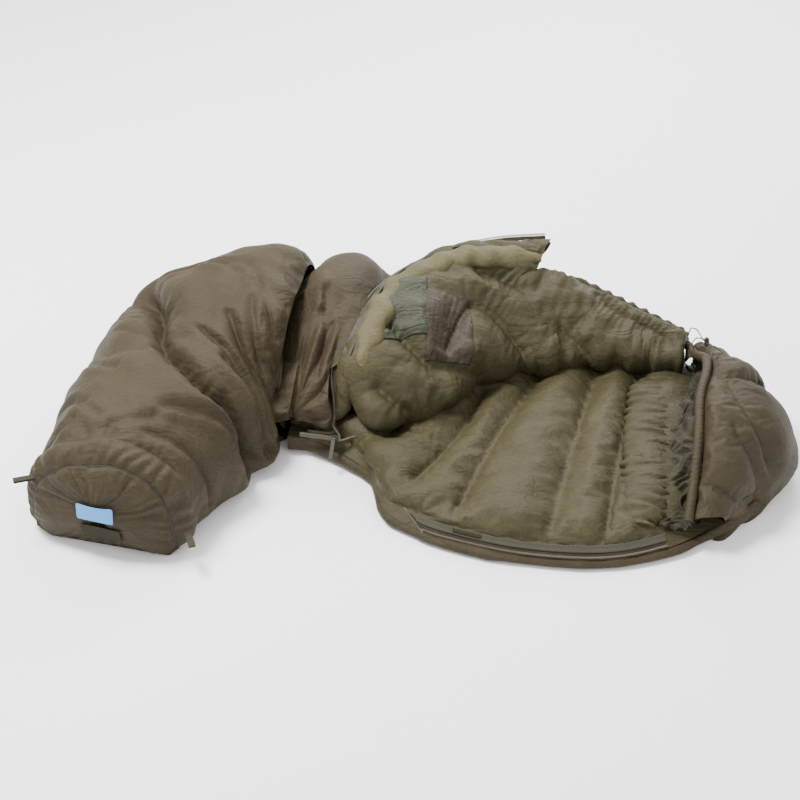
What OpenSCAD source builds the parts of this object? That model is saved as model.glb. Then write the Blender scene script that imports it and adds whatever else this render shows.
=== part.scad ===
// Mummy sleeping bag, lying on its back on the floor and folded at the knee.
// The near side zip is open, and the front quilt is turned back over itself.
// Row frame: +Z up, the head towards +X, the open zip side towards -Y.

/* [Quilt] */
// Thickness of the front quilt, shell to lining
quilt_t = 42; // [36:1:44]
// Thickness of the hood's quilt
hood_t = 42; // [38:1:44]
// Thickness of the leg section's quilt
leg_t = 58; // [50:1:62]
// Thickness of one layer of fabric, with its seam allowance
cloth_t = 2; // [1.5:0.1:2.4]
// Clear gap between a layer of fabric and its filling
layer_gap = 0.5; // [0.4:0.1:0.8]

/* [Zip] */
// Radius of the coil on each tape
coil_r = 1.8; // [1.4:0.1:1.9]
// Width of each zip tape
tape_w = 12; // [10:1:13]
// Length of the pull tab
pull_tab_l = 46; // [30:1:48]

/* [Neck and hood] */
// Radius of the hood's drawcord channel
channel_r = 11; // [9:1:12]
// Radius of the drawcords
cord_r = 1.5; // [1.2:0.1:1.6]
// Radius of a cord lock's barrel
lock_r = 6; // [5.5:0.1:6.5]
// Radius of the draft tube behind the zip
draft_r = 27; // [22:1:28]

/* [Foot] */
// Width of the webbing hang loops
loop_w = 15; // [10:1:18]
// Length of each hang loop beyond the seam
loop_l = 42; // [30:1:44]

/* [Hidden] */
$fn = 48;

shell_colour = [0.36, 0.32, 0.25];
lining_colour = [0.48, 0.44, 0.34];
fill_colour = [0.85, 0.84, 0.80];
webbing_colour = [0.33, 0.32, 0.25];
dark_colour = [0.12, 0.12, 0.10];
metal_colour = [0.28, 0.28, 0.26];
tag_colour = [0.30, 0.60, 0.85];

// ---- Curves and nets ----------------------------------------------------

// Point i of a list, continued in a straight line past either end
function past(P, i) =
    i < 0 ? 2 * P[0] - P[1] : i > len(P) - 1 ? 2 * P[len(P) - 1] - P[len(P) - 2] : P[i];

// Catmull-Rom curve through the points of P, at t from 0 to len(P) - 1
function curve_at(P, t) =
    let (i = min(floor(t), len(P) - 2), f = t - i,
         a = past(P, i - 1), b = P[i], c = P[i + 1], d = past(P, i + 2))
    0.5 * (2 * b + (c - a) * f + (2 * a - 5 * b + 4 * c - d) * f * f
           + (3 * b - a - 3 * c + d) * f * f * f);

// The same curve as n points
function curve(P, n) = [for (k = [0:n - 1]) curve_at(P, k * (len(P) - 1) / (n - 1))];

// A net of points, smoothed to n columns of m points
function smooth_net(N, n, m) =
    let (R = [for (column = N) curve(column, m)],
         T = [for (j = [0:m - 1]) curve([for (column = R) column[j]], n)])
    [for (i = [0:n - 1]) [for (j = [0:m - 1]) T[j][i]]];

function unit(v) = v / norm(v);

// The net moved along its own normals by d
function offset_net(S, d) =
    let (n = len(S), m = len(S[0]))
    [for (i = [0:n - 1]) [for (j = [0:m - 1])
        let (u = S[min(i + 1, n - 1)][j] - S[max(i - 1, 0)][j],
             v = S[i][min(j + 1, m - 1)] - S[i][max(j - 1, 0)])
        S[i][j] + d * unit(cross(v, u))]];

function flat(L) = [for (a = L) for (b = a) b];

// Closed solid between net A and net B, where B lies on the side that cross(v, u) points away from
module slab(A, B) {
    n = len(A);
    m = len(A[0]);
    a = function(i, j) i * m + j;
    b = function(i, j) n * m + i * m + j;
    faces = flat([
        [for (i = [0:n - 2]) for (j = [0:m - 2]) [a(i, j), a(i + 1, j), a(i + 1, j + 1)]],
        [for (i = [0:n - 2]) for (j = [0:m - 2]) [a(i, j), a(i + 1, j + 1), a(i, j + 1)]],
        [for (i = [0:n - 2]) for (j = [0:m - 2]) [b(i, j), b(i + 1, j + 1), b(i + 1, j)]],
        [for (i = [0:n - 2]) for (j = [0:m - 2]) [b(i, j), b(i, j + 1), b(i + 1, j + 1)]],
        [for (i = [0:n - 2]) for (q = [[a(i, 0), b(i, 0), b(i + 1, 0)],
                                       [a(i, 0), b(i + 1, 0), a(i + 1, 0)]]) q],
        [for (i = [0:n - 2]) for (q = [[a(i, m - 1), b(i + 1, m - 1), b(i, m - 1)],
                                       [a(i, m - 1), a(i + 1, m - 1), b(i + 1, m - 1)]]) q],
        [for (j = [0:m - 2]) for (q = [[a(0, j), b(0, j + 1), b(0, j)],
                                       [a(0, j), a(0, j + 1), b(0, j + 1)]]) q],
        [for (j = [0:m - 2]) for (q = [[a(n - 1, j), b(n - 1, j), b(n - 1, j + 1)],
                                       [a(n - 1, j), b(n - 1, j + 1), a(n - 1, j + 1)]]) q],
    ]);
    polyhedron(concat(flat(A), flat(B)), faces);
}

// One layer of a quilt, from distance low to distance high on the side that its lining faces
module layer(S, low, high) slab(offset_net(S, high), offset_net(S, low));

// Closed tube through rings of points, capped flat at both ends
module loft(rings) {
    n = len(rings);
    m = len(rings[0]);
    p = function(i, j) i * m + j % m;
    walls = [for (i = [0:n - 2]) for (j = [0:m - 1])
        for (q = [[p(i, j), p(i + 1, j + 1), p(i, j + 1)], [p(i, j), p(i + 1, j), p(i + 1, j + 1)]]) q];
    ends = [[for (j = [0:m - 1]) p(0, j)], [for (j = [m - 1:-1:0]) p(n - 1, j)]];
    polyhedron(flat(rings), concat(walls, ends));
}

// Tube with a bore through rings of points: the outer wall, the inner wall and a rim at each end
module pipe(outer, inner) {
    n = len(outer);
    m = len(outer[0]);
    p = function(i, j) i * m + j % m;
    q = function(i, j) n * m + i * m + j % m;
    faces = flat([
        [for (i = [0:n - 2]) for (j = [0:m - 1]) [p(i, j), p(i + 1, j + 1), p(i, j + 1)]],
        [for (i = [0:n - 2]) for (j = [0:m - 1]) [p(i, j), p(i + 1, j), p(i + 1, j + 1)]],
        [for (i = [0:n - 2]) for (j = [0:m - 1]) [q(i, j), q(i, j + 1), q(i + 1, j + 1)]],
        [for (i = [0:n - 2]) for (j = [0:m - 1]) [q(i, j), q(i + 1, j + 1), q(i + 1, j)]],
        [for (j = [0:m - 1]) [p(0, j), p(0, j + 1), q(0, j + 1)]],
        [for (j = [0:m - 1]) [p(0, j), q(0, j + 1), q(0, j)]],
        [for (j = [0:m - 1]) [p(n - 1, j), q(n - 1, j + 1), p(n - 1, j + 1)]],
        [for (j = [0:m - 1]) [p(n - 1, j), q(n - 1, j), q(n - 1, j + 1)]],
    ]);
    polyhedron(concat(flat(outer), flat(inner)), faces);
}

// Direction along a list of points at point i
function along(P, i) = unit(P[min(i + 1, len(P) - 1)] - P[max(i - 1, 0)]);

// Rings of an elliptical cord, a wide and b high, swept along P with its height kept near +Z
function cord_rings(P, a, b, sides) = [for (i = [0:len(P) - 1])
    let (t = along(P, i), s = unit(cross([0, 0, 1], t)), h = cross(t, s))
    [for (k = [0:sides - 1]) P[i] + a * cos(360 * k / sides) * s + b * sin(360 * k / sides) * h]];

// Rings of a round cord of radius r, swept along P with a frame carried from ring to ring
function carried(P, i = 0, s = undef) =
    i == len(P) ? [] :
    let (t = along(P, i), g = s == undef ? (abs(t[2]) < 0.9 ? [0, 0, 1] : [1, 0, 0]) : s,
         side = unit(g - (g * t) * t))
    concat([side], carried(P, i + 1, side));
function round_rings(P, r, sides) = let (S = carried(P)) [for (i = [0:len(P) - 1])
    let (t = along(P, i), h = cross(t, S[i]))
    [for (k = [0:sides - 1]) P[i] + r * cos(360 * k / sides) * S[i] + r * sin(360 * k / sides) * h]];

module cord(P, r, sides = 8) loft(round_rings(P, r, sides));

// Flat tape along P: w wide on the side that side(i) points to, t thick
module tape(P, side, w, t) {
    S = [for (i = [0:len(P) - 1]) let (a = along(P, i)) unit(side - (side * a) * a)];
    loft([for (i = [0:len(P) - 1]) let (a = along(P, i), h = cross(a, S[i]) * t / 2)
        [P[i] - h, P[i] + w * S[i] - h, P[i] + w * S[i] + h, P[i] + h]]);
}

// ---- Where the fabric goes ----------------------------------------------

// Moves the drawing so that the middle of the whole bag's footprint is the frame's origin
home = [-12.6, -44.4, 0];

// Leg section: inner edge x, y, outer edge x, y and height, from the foot to the fold at the knee
LEG = [
    [-450, -352, -806, -258, 232],
    [-418, -300, -812, -190, 255],
    [-365, -205, -785, -50, 268],
    [-322, -110, -742, 105, 268],
    [-304, -66, -700, 270, 262],
    [-294, -48, -625, 410, 296],
    [-290, -40, -420, 520, 322],
    [-282, -32, -208, 515, 318],
];

// Front quilt's middle surface, from the far side seam to the zip's edge; columns run to the head
FRONT = [
    [[-200, 440, 72], [-202, 400, 164], [-208, 322, 226], [-218, 232, 240],
     [-230, 152, 222], [-243, 80, 175], [-257, 20, 128], [-264, -15, 84]],
    [[-150, 505, 72], [-152, 465, 166], [-160, 382, 232], [-172, 286, 246],
     [-186, 190, 226], [-201, 95, 176], [-217, 20, 126], [-222, -28, 84]],
    [[-92, 528, 72], [-92, 482, 158], [-100, 398, 214], [-114, 300, 222],
     [-128, 184, 202], [-144, 84, 166], [-158, 5, 128], [-163, -40, 90]],
    [[-38, 532, 72], [-38, 474, 132], [-46, 378, 154], [-54, 180, 122],
     [-58, -20, 112], [-90, 22, 170], [-119, 60, 196], [-140, 80, 208]],
    [[30, 525, 74], [30, 464, 116], [25, 352, 114], [20, 170, 92],
     [38, 18, 112], [22, 105, 192], [-10, 215, 232], [-50, 295, 245]],
    [[120, 515, 76], [120, 450, 102], [115, 350, 90], [110, 215, 84],
     [138, 100, 112], [135, 212, 207], [120, 325, 248], [95, 415, 268]],
    [[230, 490, 76], [228, 430, 90], [222, 350, 82], [215, 260, 82],
     [248, 184, 112], [248, 288, 203], [238, 378, 248], [225, 445, 285]],
    [[345, 455, 76], [342, 405, 84], [335, 345, 80], [335, 280, 80],
     [366, 218, 108], [362, 294, 184], [358, 378, 235], [355, 450, 292]],
];

// Upper neck baffle's middle surface, which carries the front quilt on to the neck
UPPER_BAFFLE = [
    [[354, 452, 76], [350, 402, 84], [345, 342, 80], [345, 280, 80],
     [376, 218, 108], [374, 290, 168], [372, 348, 204], [370, 392, 220]],
    [[450, 412, 76], [448, 375, 84], [442, 330, 80], [445, 276, 80],
     [474, 220, 104], [474, 280, 156], [470, 325, 182], [466, 358, 188]],
    [[560, 362, 76], [558, 335, 82], [555, 300, 79], [558, 262, 80],
     [580, 218, 98], [580, 262, 136], [578, 292, 150], [576, 314, 154]],
    [[672, 272, 76], [672, 260, 80], [672, 246, 80], [672, 228, 82],
     [680, 204, 95], [682, 220, 116], [685, 234, 126], [688, 246, 130]],
];

// Back quilt's upper face, from the zip's edge to the far edge; columns run to the head
BACK = [
    [[-268, -24, 46], [-260, 50, 50], [-245, 180, 50], [-228, 310, 50], [-212, 428, 50]],
    [[-215, -34, 44], [-206, 50, 50], [-193, 220, 50], [-174, 370, 50], [-155, 502, 50]],
    [[-155, -70, 34], [-140, 0, 54], [-125, 150, 50], [-108, 360, 50], [-92, 530, 50]],
    [[-82, -138, 24], [-84, -55, 60], [-65, 130, 52], [-45, 350, 50], [-25, 538, 50]],
    [[-44, -272, 24], [-30, -180, 54], [5, 80, 50], [25, 340, 50], [50, 535, 50]],
    [[22, -330, 20], [42, -252, 50], [62, 60, 50], [76, 330, 50], [95, 530, 50]],
    [[100, -374, 20], [112, -290, 50], [122, 50, 50], [130, 310, 50], [140, 524, 50]],
    [[255, -424, 20], [256, -338, 50], [252, 20, 50], [248, 290, 50], [245, 500, 50]],
    [[430, -440, 20], [426, -352, 50], [415, -10, 50], [405, 230, 50], [395, 455, 50]],
    [[570, -404, 22], [562, -320, 50], [562, -40, 50], [558, 190, 50], [555, 370, 50]],
    [[690, -338, 34], [684, -262, 50], [690, -70, 50], [690, 105, 50], [690, 260, 50]],
    [[780, -268, 50], [784, -210, 50], [790, -90, 50], [786, 20, 50], [776, 130, 50]],
    [[846, -196, 50], [852, -160, 50], [858, -110, 50], [856, -60, 50], [846, -8, 50]],
];

// Hood's middle surface from the rim to its outer edge; columns run round from the zip side
HOOD = [
    [[630, -372, 74], [656, -364, 74], [676, -350, 74], [692, -330, 74]],
    [[650, -290, 130], [704, -288, 130], [752, -268, 105], [783, -240, 76]],
    [[666, -200, 175], [744, -185, 183], [814, -165, 132], [842, -160, 76]],
    [[684, -80, 195], [760, -75, 193], [826, -70, 138], [850, -85, 76]],
    [[712, 20, 190], [770, 10, 183], [814, 0, 138], [836, 0, 76]],
    [[724, 110, 163], [762, 95, 153], [794, 85, 118], [808, 75, 76]],
    [[714, 190, 120], [740, 175, 115], [754, 162, 100], [770, 146, 76]],
];

// Where the coil of the back quilt's edge crosses the hump beside the slider
HUMP_COIL = [
    [-122, -62, 66], [-98, -58, 71], [-78, -66, 72], [-64, -96, 70], [-54, -150, 64], [-46, -212, 52],
];

// ---- Derived sizes and surfaces -----------------------------------------

front = smooth_net(FRONT, 18, 20);
upper_baffle = smooth_net(UPPER_BAFFLE, 7, 20);
back_top = smooth_net(BACK, 25, 9);
hood = smooth_net(HOOD, 13, 8);
leg_stations = curve(LEG, 14);

// The back quilt's upper face at a fixed height, or lowered by d
function level(S, z) = [for (c = S) [for (p = c) [p[0], p[1], z]]];
function lowered(S, d) = [for (c = S) [for (p = c) p - [0, 0, d]]];

// Ring i of the leg section, d inside its outer face
leg_arch = 20;
leg_floor = 4;
function leg_ring(i, d) =
    let (s = leg_stations[i], a = [s[0], s[1], 0], b = [s[2], s[3], 0], e = unit(b - a),
         inner = a + d * e, outer = b - d * e, h = s[4] - 2 * d)
    concat(
        [for (k = [0:leg_arch]) let (c = cos(180 * k / leg_arch), w = (1 - sign(c) * pow(abs(c), 0.85)) / 2)
            outer + (inner - outer) * w + [0, 0, d + h * pow(sin(180 * k / leg_arch), 0.75)]],
        [for (k = [1:leg_floor - 1]) inner + (outer - inner) * k / leg_floor + [0, 0, d]]
    );
module leg_layer(low, high)
    pipe([for (i = [0:len(leg_stations) - 1]) leg_ring(i, low)],
         [for (i = [0:len(leg_stations) - 1]) leg_ring(i, high)]);

// The foot end as a net, domed outwards by foot_bulge and lying d inside its outer face
foot_columns = 16;
foot_rows = 8;
foot_bulge = 34;
foot_edge = 0.02;
function foot_net(d) =
    let (s = LEG[0], a = [s[0], s[1], 0], b = [s[2], s[3], 0], e = unit(b - a), out = cross([0, 0, 1], e))
    [for (i = [0:foot_columns]) let (u = foot_edge + (1 - 2 * foot_edge) * i / foot_columns)
        [for (j = [0:foot_rows])
            let (w = j / foot_rows, c = abs(2 * u - 1), top = s[4] * pow(sqrt(1 - pow(c, 2 / 0.85)), 0.75))
            a + u * (b - a) + [0, 0, (top - 1) * w]
                + out * (1 + leg_t - d + foot_bulge * (1 - c * c) * (1 - pow(2 * w - 1, 2)))]];
module foot_layer(low, high) slab(foot_net(low), foot_net(high));

// Frame of the front quilt's zip edge at t columns: the point, the way out of the cloth, the shell's side
function edge_frame(N, t) =
    let (last = len(N[0]) - 1, E = [for (c = N) c[last]], F = [for (c = N) curve_at(c, last - 0.2)],
         p = curve_at(E, t), w = unit(p - curve_at(F, t)),
         u = curve_at(E, min(t + 0.05, len(N) - 1)) - curve_at(E, max(t - 0.05, 0)))
    [p, w, unit(cross(w, u))];
flap_steps = 36;
flap_start = 2.1;
flap_edge = [for (k = [0:flap_steps])
    edge_frame(FRONT, flap_start + (len(FRONT) - 1 - flap_start) * k / flap_steps)];
flap_sewn = 6;
// The flap's edge from step k on, moved w out of the cloth and n towards the shell
function flap_line(w, n, k = 0) =
    [for (i = [k:flap_steps]) flap_edge[i][0] + w * flap_edge[i][1] + n * flap_edge[i][2]];

// The straight, closed length of zip, in its own frame: x along it, y up the cloth, z out of its face
zip_at = [-158, -68, 68];
zip_turn = -12;
zip_tilt = 60;
zip_closed = 82;
zip_lead = 12;
coil_gap = 2;
coil_y = coil_gap / 2 + coil_r;
tape_t = 0.8;
tape_y = coil_y + coil_r + 0.3;
function in_zip(p) =
    let (y = p[1] * cos(zip_tilt) - p[2] * sin(zip_tilt), z = p[1] * sin(zip_tilt) + p[2] * cos(zip_tilt))
    zip_at + [p[0] * cos(zip_turn) - y * sin(zip_turn), p[0] * sin(zip_turn) + y * cos(zip_turn), z];
module zip_frame() translate(zip_at) rotate([0, 0, zip_turn]) rotate([zip_tilt, 0, 0]) children();

// Ribbon of thickness t between line C and line E
module ribbon(C, E, t)
    loft([for (i = [0:len(C) - 1]) let (s = E[i] - C[i], h = unit(cross(along(C, i), s)) * t / 2)
        [C[i] - h, E[i] - h, E[i] + h, C[i] + h]]);

// Line on the back quilt's upper face from column i0 to i1, at part s of its first row, h above it
function back_line(i0, i1, s, h) =
    [for (i = [i0:i1]) back_top[i][0] * (1 - s) + back_top[i][1] * s + [0, 0, h]];
zip_first = 10;
zip_last = 18;
hump = curve(HUMP_COIL, 49);
// Which way the back quilt's tape lies off the coil: down where the zip is closed, turning in over the hump
hump_turn = 27;
zip_down = in_zip([0, -1, 0]) - zip_at;
hump_side = [for (i = [0:len(hump) - 1])
    let (t = min(1, i / hump_turn), left = unit(cross([0, 0, 1], along(hump, i))))
    unit((1 - t) * zip_down + t * left)];
function off_hump(d) = [for (i = [0:len(hump) - 1]) hump[i] + d * hump_side[i]];
// Line A carried on to line B in short straight steps
bridge_steps = 12;
function bridged(A, B) = let (a = A[len(A) - 1])
    concat(A, [for (k = [1:bridge_steps - 1]) a + (B[0] - a) * k / bridge_steps], B);

module placed() translate(home) children();

// ---- Leg section and foot end -------------------------------------------

module leg_outer_shell() color(shell_colour) placed() leg_layer(0, cloth_t);

module leg_insulation() color(fill_colour) placed()
    leg_layer(cloth_t + layer_gap, leg_t - cloth_t - layer_gap);

module leg_lining() color(lining_colour) placed() leg_layer(leg_t - cloth_t, leg_t);

module foot_end_outer_panel() color(shell_colour) placed() foot_layer(0, cloth_t);

module foot_end_insulation() color(fill_colour) placed()
    foot_layer(cloth_t + layer_gap, leg_t - cloth_t - layer_gap);

module foot_end_lining() color(lining_colour) placed() foot_layer(leg_t - cloth_t, leg_t);

// A patch on the foot end: columns i0 to i1 and rows j0 to j1 of the net, from low to high off its face
module foot_patch(i0, i1, j0, j1, low, high) {
    cut = function(N) [for (i = [i0:i1]) [for (j = [j0:j1]) N[i][j]]];
    slab(cut(foot_net(-high)), cut(foot_net(-low)));
}

module size_tag() color(tag_colour) placed() foot_patch(8, 12, 4, 6, 2, 3.2);

module care_label() color(shell_colour) placed() foot_patch(7, 11, 2, 4, 0.5, 1.3);

// Folded webbing loop, drawn flat with its sewn end on the origin and running along +X
module foot_loop() {
    fold = 2.4;
    web = 1.6;
    for (side = [-1, 1])
        translate([0, -loop_w / 2, side * fold / 2 - web / 2 + side * web / 2])
            cube([loop_l, loop_w, web]);
    translate([loop_l, 0, 0]) rotate([90, 0, 0]) half_ring(fold / 2, fold / 2 + web, loop_w);
}
module half_ring(inner, outer, w)
    difference() {
        cylinder(r = outer, h = w, center = true);
        cylinder(r = inner, h = w + 1, center = true);
        translate([-outer, 0, 0]) cube([2 * outer, 2 * outer + 1, w + 1], center = true);
    }

loop_left_at = [-800, -317, 150];
loop_left_turn = 196;
loop_right_at = [-462, -415, 72];
loop_right_turn = -72;
module foot_loop_left() color(webbing_colour) placed()
    translate(loop_left_at) rotate([0, 0, loop_left_turn]) foot_loop();
module foot_loop_right() color(webbing_colour) placed()
    translate(loop_right_at) rotate([0, 0, loop_right_turn]) foot_loop();

// ---- Back quilt ---------------------------------------------------------

module back_outer_shell() color(shell_colour) placed() slab(level(back_top, 0), level(back_top, cloth_t));

module back_insulation() color(fill_colour) placed()
    slab(level(back_top, cloth_t + layer_gap), lowered(back_top, cloth_t + layer_gap));

module back_lining() color(lining_colour) placed() slab(lowered(back_top, cloth_t), back_top);

module lower_neck_baffle() color(lining_colour) placed() {
    half_w = 42;
    half_h = 13;
    path = curve([[566, -300, 64.5], [580, -220, 64.5], [592, -110, 64.5],
                  [600, 0, 64.5], [604, 110, 64.5]], 13);
    loft(cord_rings(path, half_w, half_h, 16));
}

module hook_and_loop_patch() color(dark_colour) placed()
    translate([572, -348, 51]) rotate([0, 0, 20]) cube([44, 28, 2.5]);

// ---- Front quilt, turned back over itself -------------------------------

module front_outer_shell() color(shell_colour) placed() layer(front, quilt_t / 2 - cloth_t, quilt_t / 2);

module front_insulation() color(fill_colour) placed()
    layer(front, -quilt_t / 2 + cloth_t + layer_gap, quilt_t / 2 - cloth_t - layer_gap);

module front_lining() color(lining_colour) placed() layer(front, -quilt_t / 2, -quilt_t / 2 + cloth_t);

baffle_half = 20;
module upper_neck_baffle() color(lining_colour) placed() layer(upper_baffle, -baffle_half, baffle_half);

module inner_pocket() color(dark_colour) placed() {
    cut = function(N) [for (i = [8:12]) [for (j = [14:17]) N[i][j]]];
    slab(cut(offset_net(front, -quilt_t / 2 - 0.5)), cut(offset_net(front, -quilt_t / 2 - 3)));
}

module flap_draft_tube() color(lining_colour) placed() {
    half_h = 11;
    clear = 8;
    sides = 12;
    loft([for (k = [flap_sewn:flap_steps])
        let (f = flap_edge[k], c = f[0] - 60 * f[1] - (quilt_t / 2 + clear + half_h) * f[2])
        [for (a = [0:sides - 1])
            c + draft_r * sin(360 * a / sides) * f[1] + half_h * cos(360 * a / sides) * f[2]]]);
}

// ---- Hood and the two drawcord channels ---------------------------------

module hood_outer_shell() color(shell_colour) placed() layer(hood, hood_t / 2 - cloth_t, hood_t / 2);

module hood_insulation() color(fill_colour) placed()
    layer(hood, -hood_t / 2 + cloth_t + layer_gap, hood_t / 2 - cloth_t - layer_gap);

module hood_lining() color(lining_colour) placed() layer(hood, -hood_t / 2, -hood_t / 2 + cloth_t);

channel_bore = cord_r + 1.4;
channel_sides = 12;
hood_rim = curve([for (c = HOOD) c[0] - (channel_r + 1.5) * unit(c[1] - c[0])], 18);
chin_line = [for (k = [0:12]) let (f = edge_frame(UPPER_BAFFLE, 3 * k / 12))
    f[0] + (channel_r + 3) * f[1]];

module channel(path)
    pipe(round_rings(path, channel_r, channel_sides), round_rings(path, channel_bore, channel_sides));

module hood_rim_channel() color(shell_colour) placed() channel(hood_rim);

module hood_rim_cord() color(dark_colour) placed()
    cord(concat(hood_rim,
                curve([[694, 205, 150], [700, 185, 178], in_hood_lock([-16, strand_y, cord_level])], 5),
                [in_hood_lock([lock_r, strand_y, cord_level])]), cord_r);

module chin_channel() color(lining_colour) placed() channel(chin_line);

module chin_cord() color(dark_colour) placed()
    cord(concat(chin_line,
                curve([[694, 240, 170], [700, 195, 195], in_hood_lock([-16, -strand_y, cord_level])], 5),
                [in_hood_lock([lock_r, -strand_y, cord_level])]), cord_r);

// Padded roll of shell cloth that lies behind the chin channel
chin_roll_path = [[392, 431, 190], [472, 406, 162], [577, 362, 128], [652, 314, 112], [696, 278, 108]];
module chin_outer_roll() color(shell_colour) placed() {
    half_w = 17;
    half_h = 24;
    loft(cord_rings(curve(chin_roll_path, 12), half_w, half_h, 14));
}

module hood_hang_loop() color(webbing_colour) placed() {
    span = 11;
    height = 18;
    path = [for (k = [0:12]) [816, -14, 177] + [0, -span * cos(15 * k), height * sin(15 * k)]];
    ribbon(path, [for (p = path) p + [8, 0, 0]], 1.4);
}

// ---- Zip ----------------------------------------------------------------

module zip_tape_front() color(shell_colour) placed()
    ribbon(
        concat([for (x = [-zip_closed, zip_lead]) in_zip([x, tape_y, 0])], flap_line(1 + tape_w, 0)),
        concat([for (x = [-zip_closed, zip_lead]) in_zip([x, tape_y + 9, 0])], flap_line(1, 0)), tape_t);

module zip_coil_front() color(dark_colour) placed()
    cord(concat([for (x = [-zip_closed, zip_lead]) in_zip([x, coil_y, 0])],
                flap_line(1.3 + tape_w + coil_r, 0)), coil_r, 6);

module zip_facing_front() color(shell_colour) placed()
    ribbon(flap_line(-3, -quilt_t / 2 - 3, flap_sewn), flap_line(-30, -quilt_t / 2 - 3, flap_sewn), 1.6);

module zip_tape_back() color(shell_colour) placed()
    ribbon(
        concat([for (x = [-zip_closed, zip_lead]) in_zip([x, -tape_y, 0])],
               bridged(off_hump(2.4), back_line(zip_first, zip_last, 0.13, 3.2))),
        concat([for (x = [-zip_closed, zip_lead]) in_zip([x, -tape_y - 8, 0])],
               bridged(off_hump(10), back_line(zip_first, zip_last, 0.36, 3.2))),
        tape_t);

module zip_coil_back() color(dark_colour) placed()
    cord(concat([for (x = [-zip_closed, zip_lead]) in_zip([x, -coil_y, 0])], hump,
                back_line(zip_first, zip_last, 0.06, coil_r + 2.6)), coil_r, 6);

module zip_facing_back() color(shell_colour) placed()
    ribbon(back_line(zip_first, zip_last, 0.42, 2.6), back_line(zip_first, zip_last, 0.97, 2.6), 1.6);

module zip_label() color(dark_colour) placed()
    ribbon(back_line(12, 13, 0.5, 4.8), back_line(12, 13, 0.8, 4.8), 1);

slider_l = 18;
slider_half_w = 8.2;
plate_t = 1.6;
plate_z = coil_r + 0.5;
post_w = 1.2;
bail_z = 8.6;
bail_r = 1.1;
bail_x = 6;
bail_leg = 1.7;

module slider_plate(z)
    translate([-slider_l / 2, -slider_half_w, z]) cube([slider_l, 2 * slider_half_w, plate_t]);

module zip_slider_body() color(metal_colour) placed() zip_frame() {
    flange_w = 1.4;
    flange_h = plate_z - 1.1;
    slider_plate(plate_z);
    slider_plate(-plate_z - plate_t);
    for (y = [-slider_half_w, slider_half_w - flange_w], z = [plate_z - flange_h, -plate_z])
        translate([-slider_l / 2, y, z]) cube([slider_l, flange_w, flange_h]);
    translate([5, -post_w / 2, -plate_z - 0.1]) cube([3, post_w, 2 * plate_z + 0.2]);
    translate([-bail_x, 0, bail_z]) rotate([0, 90, 0]) cylinder(r = bail_r, h = 2 * bail_x);
    for (x = [-bail_x, bail_x])
        translate([x, 0, (plate_z + plate_t / 2 + bail_z + bail_leg) / 2])
            cube([2 * bail_r, 2 * bail_leg, bail_z + bail_leg - plate_z - plate_t / 2], center = true);
}

eye_r = bail_r + 0.1;
tab_drop = -19;
module zip_pull_tab() color(metal_colour) placed()
    zip_frame() translate([0, 0, bail_z]) rotate([tab_drop, 0, 0]) {
    tab_w = 8.6;
    tab_t = 2.2;
    difference() {
        union() {
            translate([-tab_w / 2, -pull_tab_l, -tab_t / 2]) cube([tab_w, pull_tab_l - 1, tab_t]);
            rotate([0, 90, 0]) cylinder(r = eye_r + 1.6, h = tab_w, center = true);
        }
        rotate([0, 90, 0]) cylinder(r = eye_r, h = tab_w + 2, center = true);
    }
}

// ---- Cord locks, drawn with the cords running along X and the button on +Z ----

lock_l = 17;
lock_wall = 1.7;
button_r = lock_r - lock_wall;
button_play = 0.08;
button_l = 13;
button_travel = 3;
cord_bore = 2 * cord_r + 0.5;
cord_level = 9.5;

module lock_body() difference() {
    cylinder(r = lock_r, h = lock_l);
    translate([0, 0, lock_wall]) cylinder(r = button_r + button_play, h = lock_l);
    translate([0, 0, cord_level]) rotate([0, 90, 0]) cylinder(r = cord_bore, h = 3 * lock_r, center = true);
}

module lock_button() difference() {
    translate([0, 0, lock_l + 4 - button_l]) cylinder(r = button_r, h = button_l);
    for (z = [cord_level, cord_level + button_travel / 2, cord_level + button_travel])
        translate([0, 0, z]) rotate([0, 90, 0]) cylinder(r = cord_bore + 0.2, h = 3 * lock_r, center = true);
}

module lock_spring() {
    turns = 3;
    steps = 36;
    wire = 0.35;
    low = lock_wall + wire + 0.1;
    high = lock_l + 4 - button_l - button_travel - wire - 0.4;
    loft(round_rings([for (k = [0:steps])
        [2.4 * cos(360 * turns * k / steps), 2.4 * sin(360 * turns * k / steps),
        low + (high - low) * k / steps]], wire, 6));
}

// Free loop of cord beyond a lock, from one of its two strands round to the other
strand_y = cord_r + 0.2;
loop_route = [
    [lock_r + 1, strand_y, 9.5], [17, strand_y, 9.5], [27.5, strand_y, 9.5], [36, 5, 8], [45, 10, 5],
    [54, 9, 4], [59, 0, 4],
    [54, -9, 4], [45, -10, 5], [36, -5, 8], [27.5, -strand_y, 9.5], [17, -strand_y, 9.5],
    [lock_r + 1, -strand_y, 9.5],
];

// Places a lock: turned a about its own Y, then b about Z, then moved to at
function in_lock(at, a, b, p) =
    let (x = p[0] * cos(a) + p[2] * sin(a), z = p[2] * cos(a) - p[0] * sin(a))
    at + [x * cos(b) - p[1] * sin(b), x * sin(b) + p[1] * cos(b), z];
module at_lock(at, a, b) translate(at) rotate([0, a, b]) children();

hood_lock_at = [714, 128, 194];
hood_lock_a = -8;
hood_lock_b = -68;
function in_hood_lock(p) = in_lock(hood_lock_at, hood_lock_a, hood_lock_b, p);
module on_hood() at_lock(hood_lock_at, hood_lock_a, hood_lock_b) children();

module hood_lock_body() color(dark_colour) placed() on_hood() lock_body();
module hood_lock_button() color(dark_colour) placed() on_hood() lock_button();
module hood_lock_spring() color(metal_colour) placed() on_hood() lock_spring();
module hood_cord_loop() color(dark_colour) placed()
    cord(curve([for (p = loop_route) in_hood_lock(p)], 31), cord_r);

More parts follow.
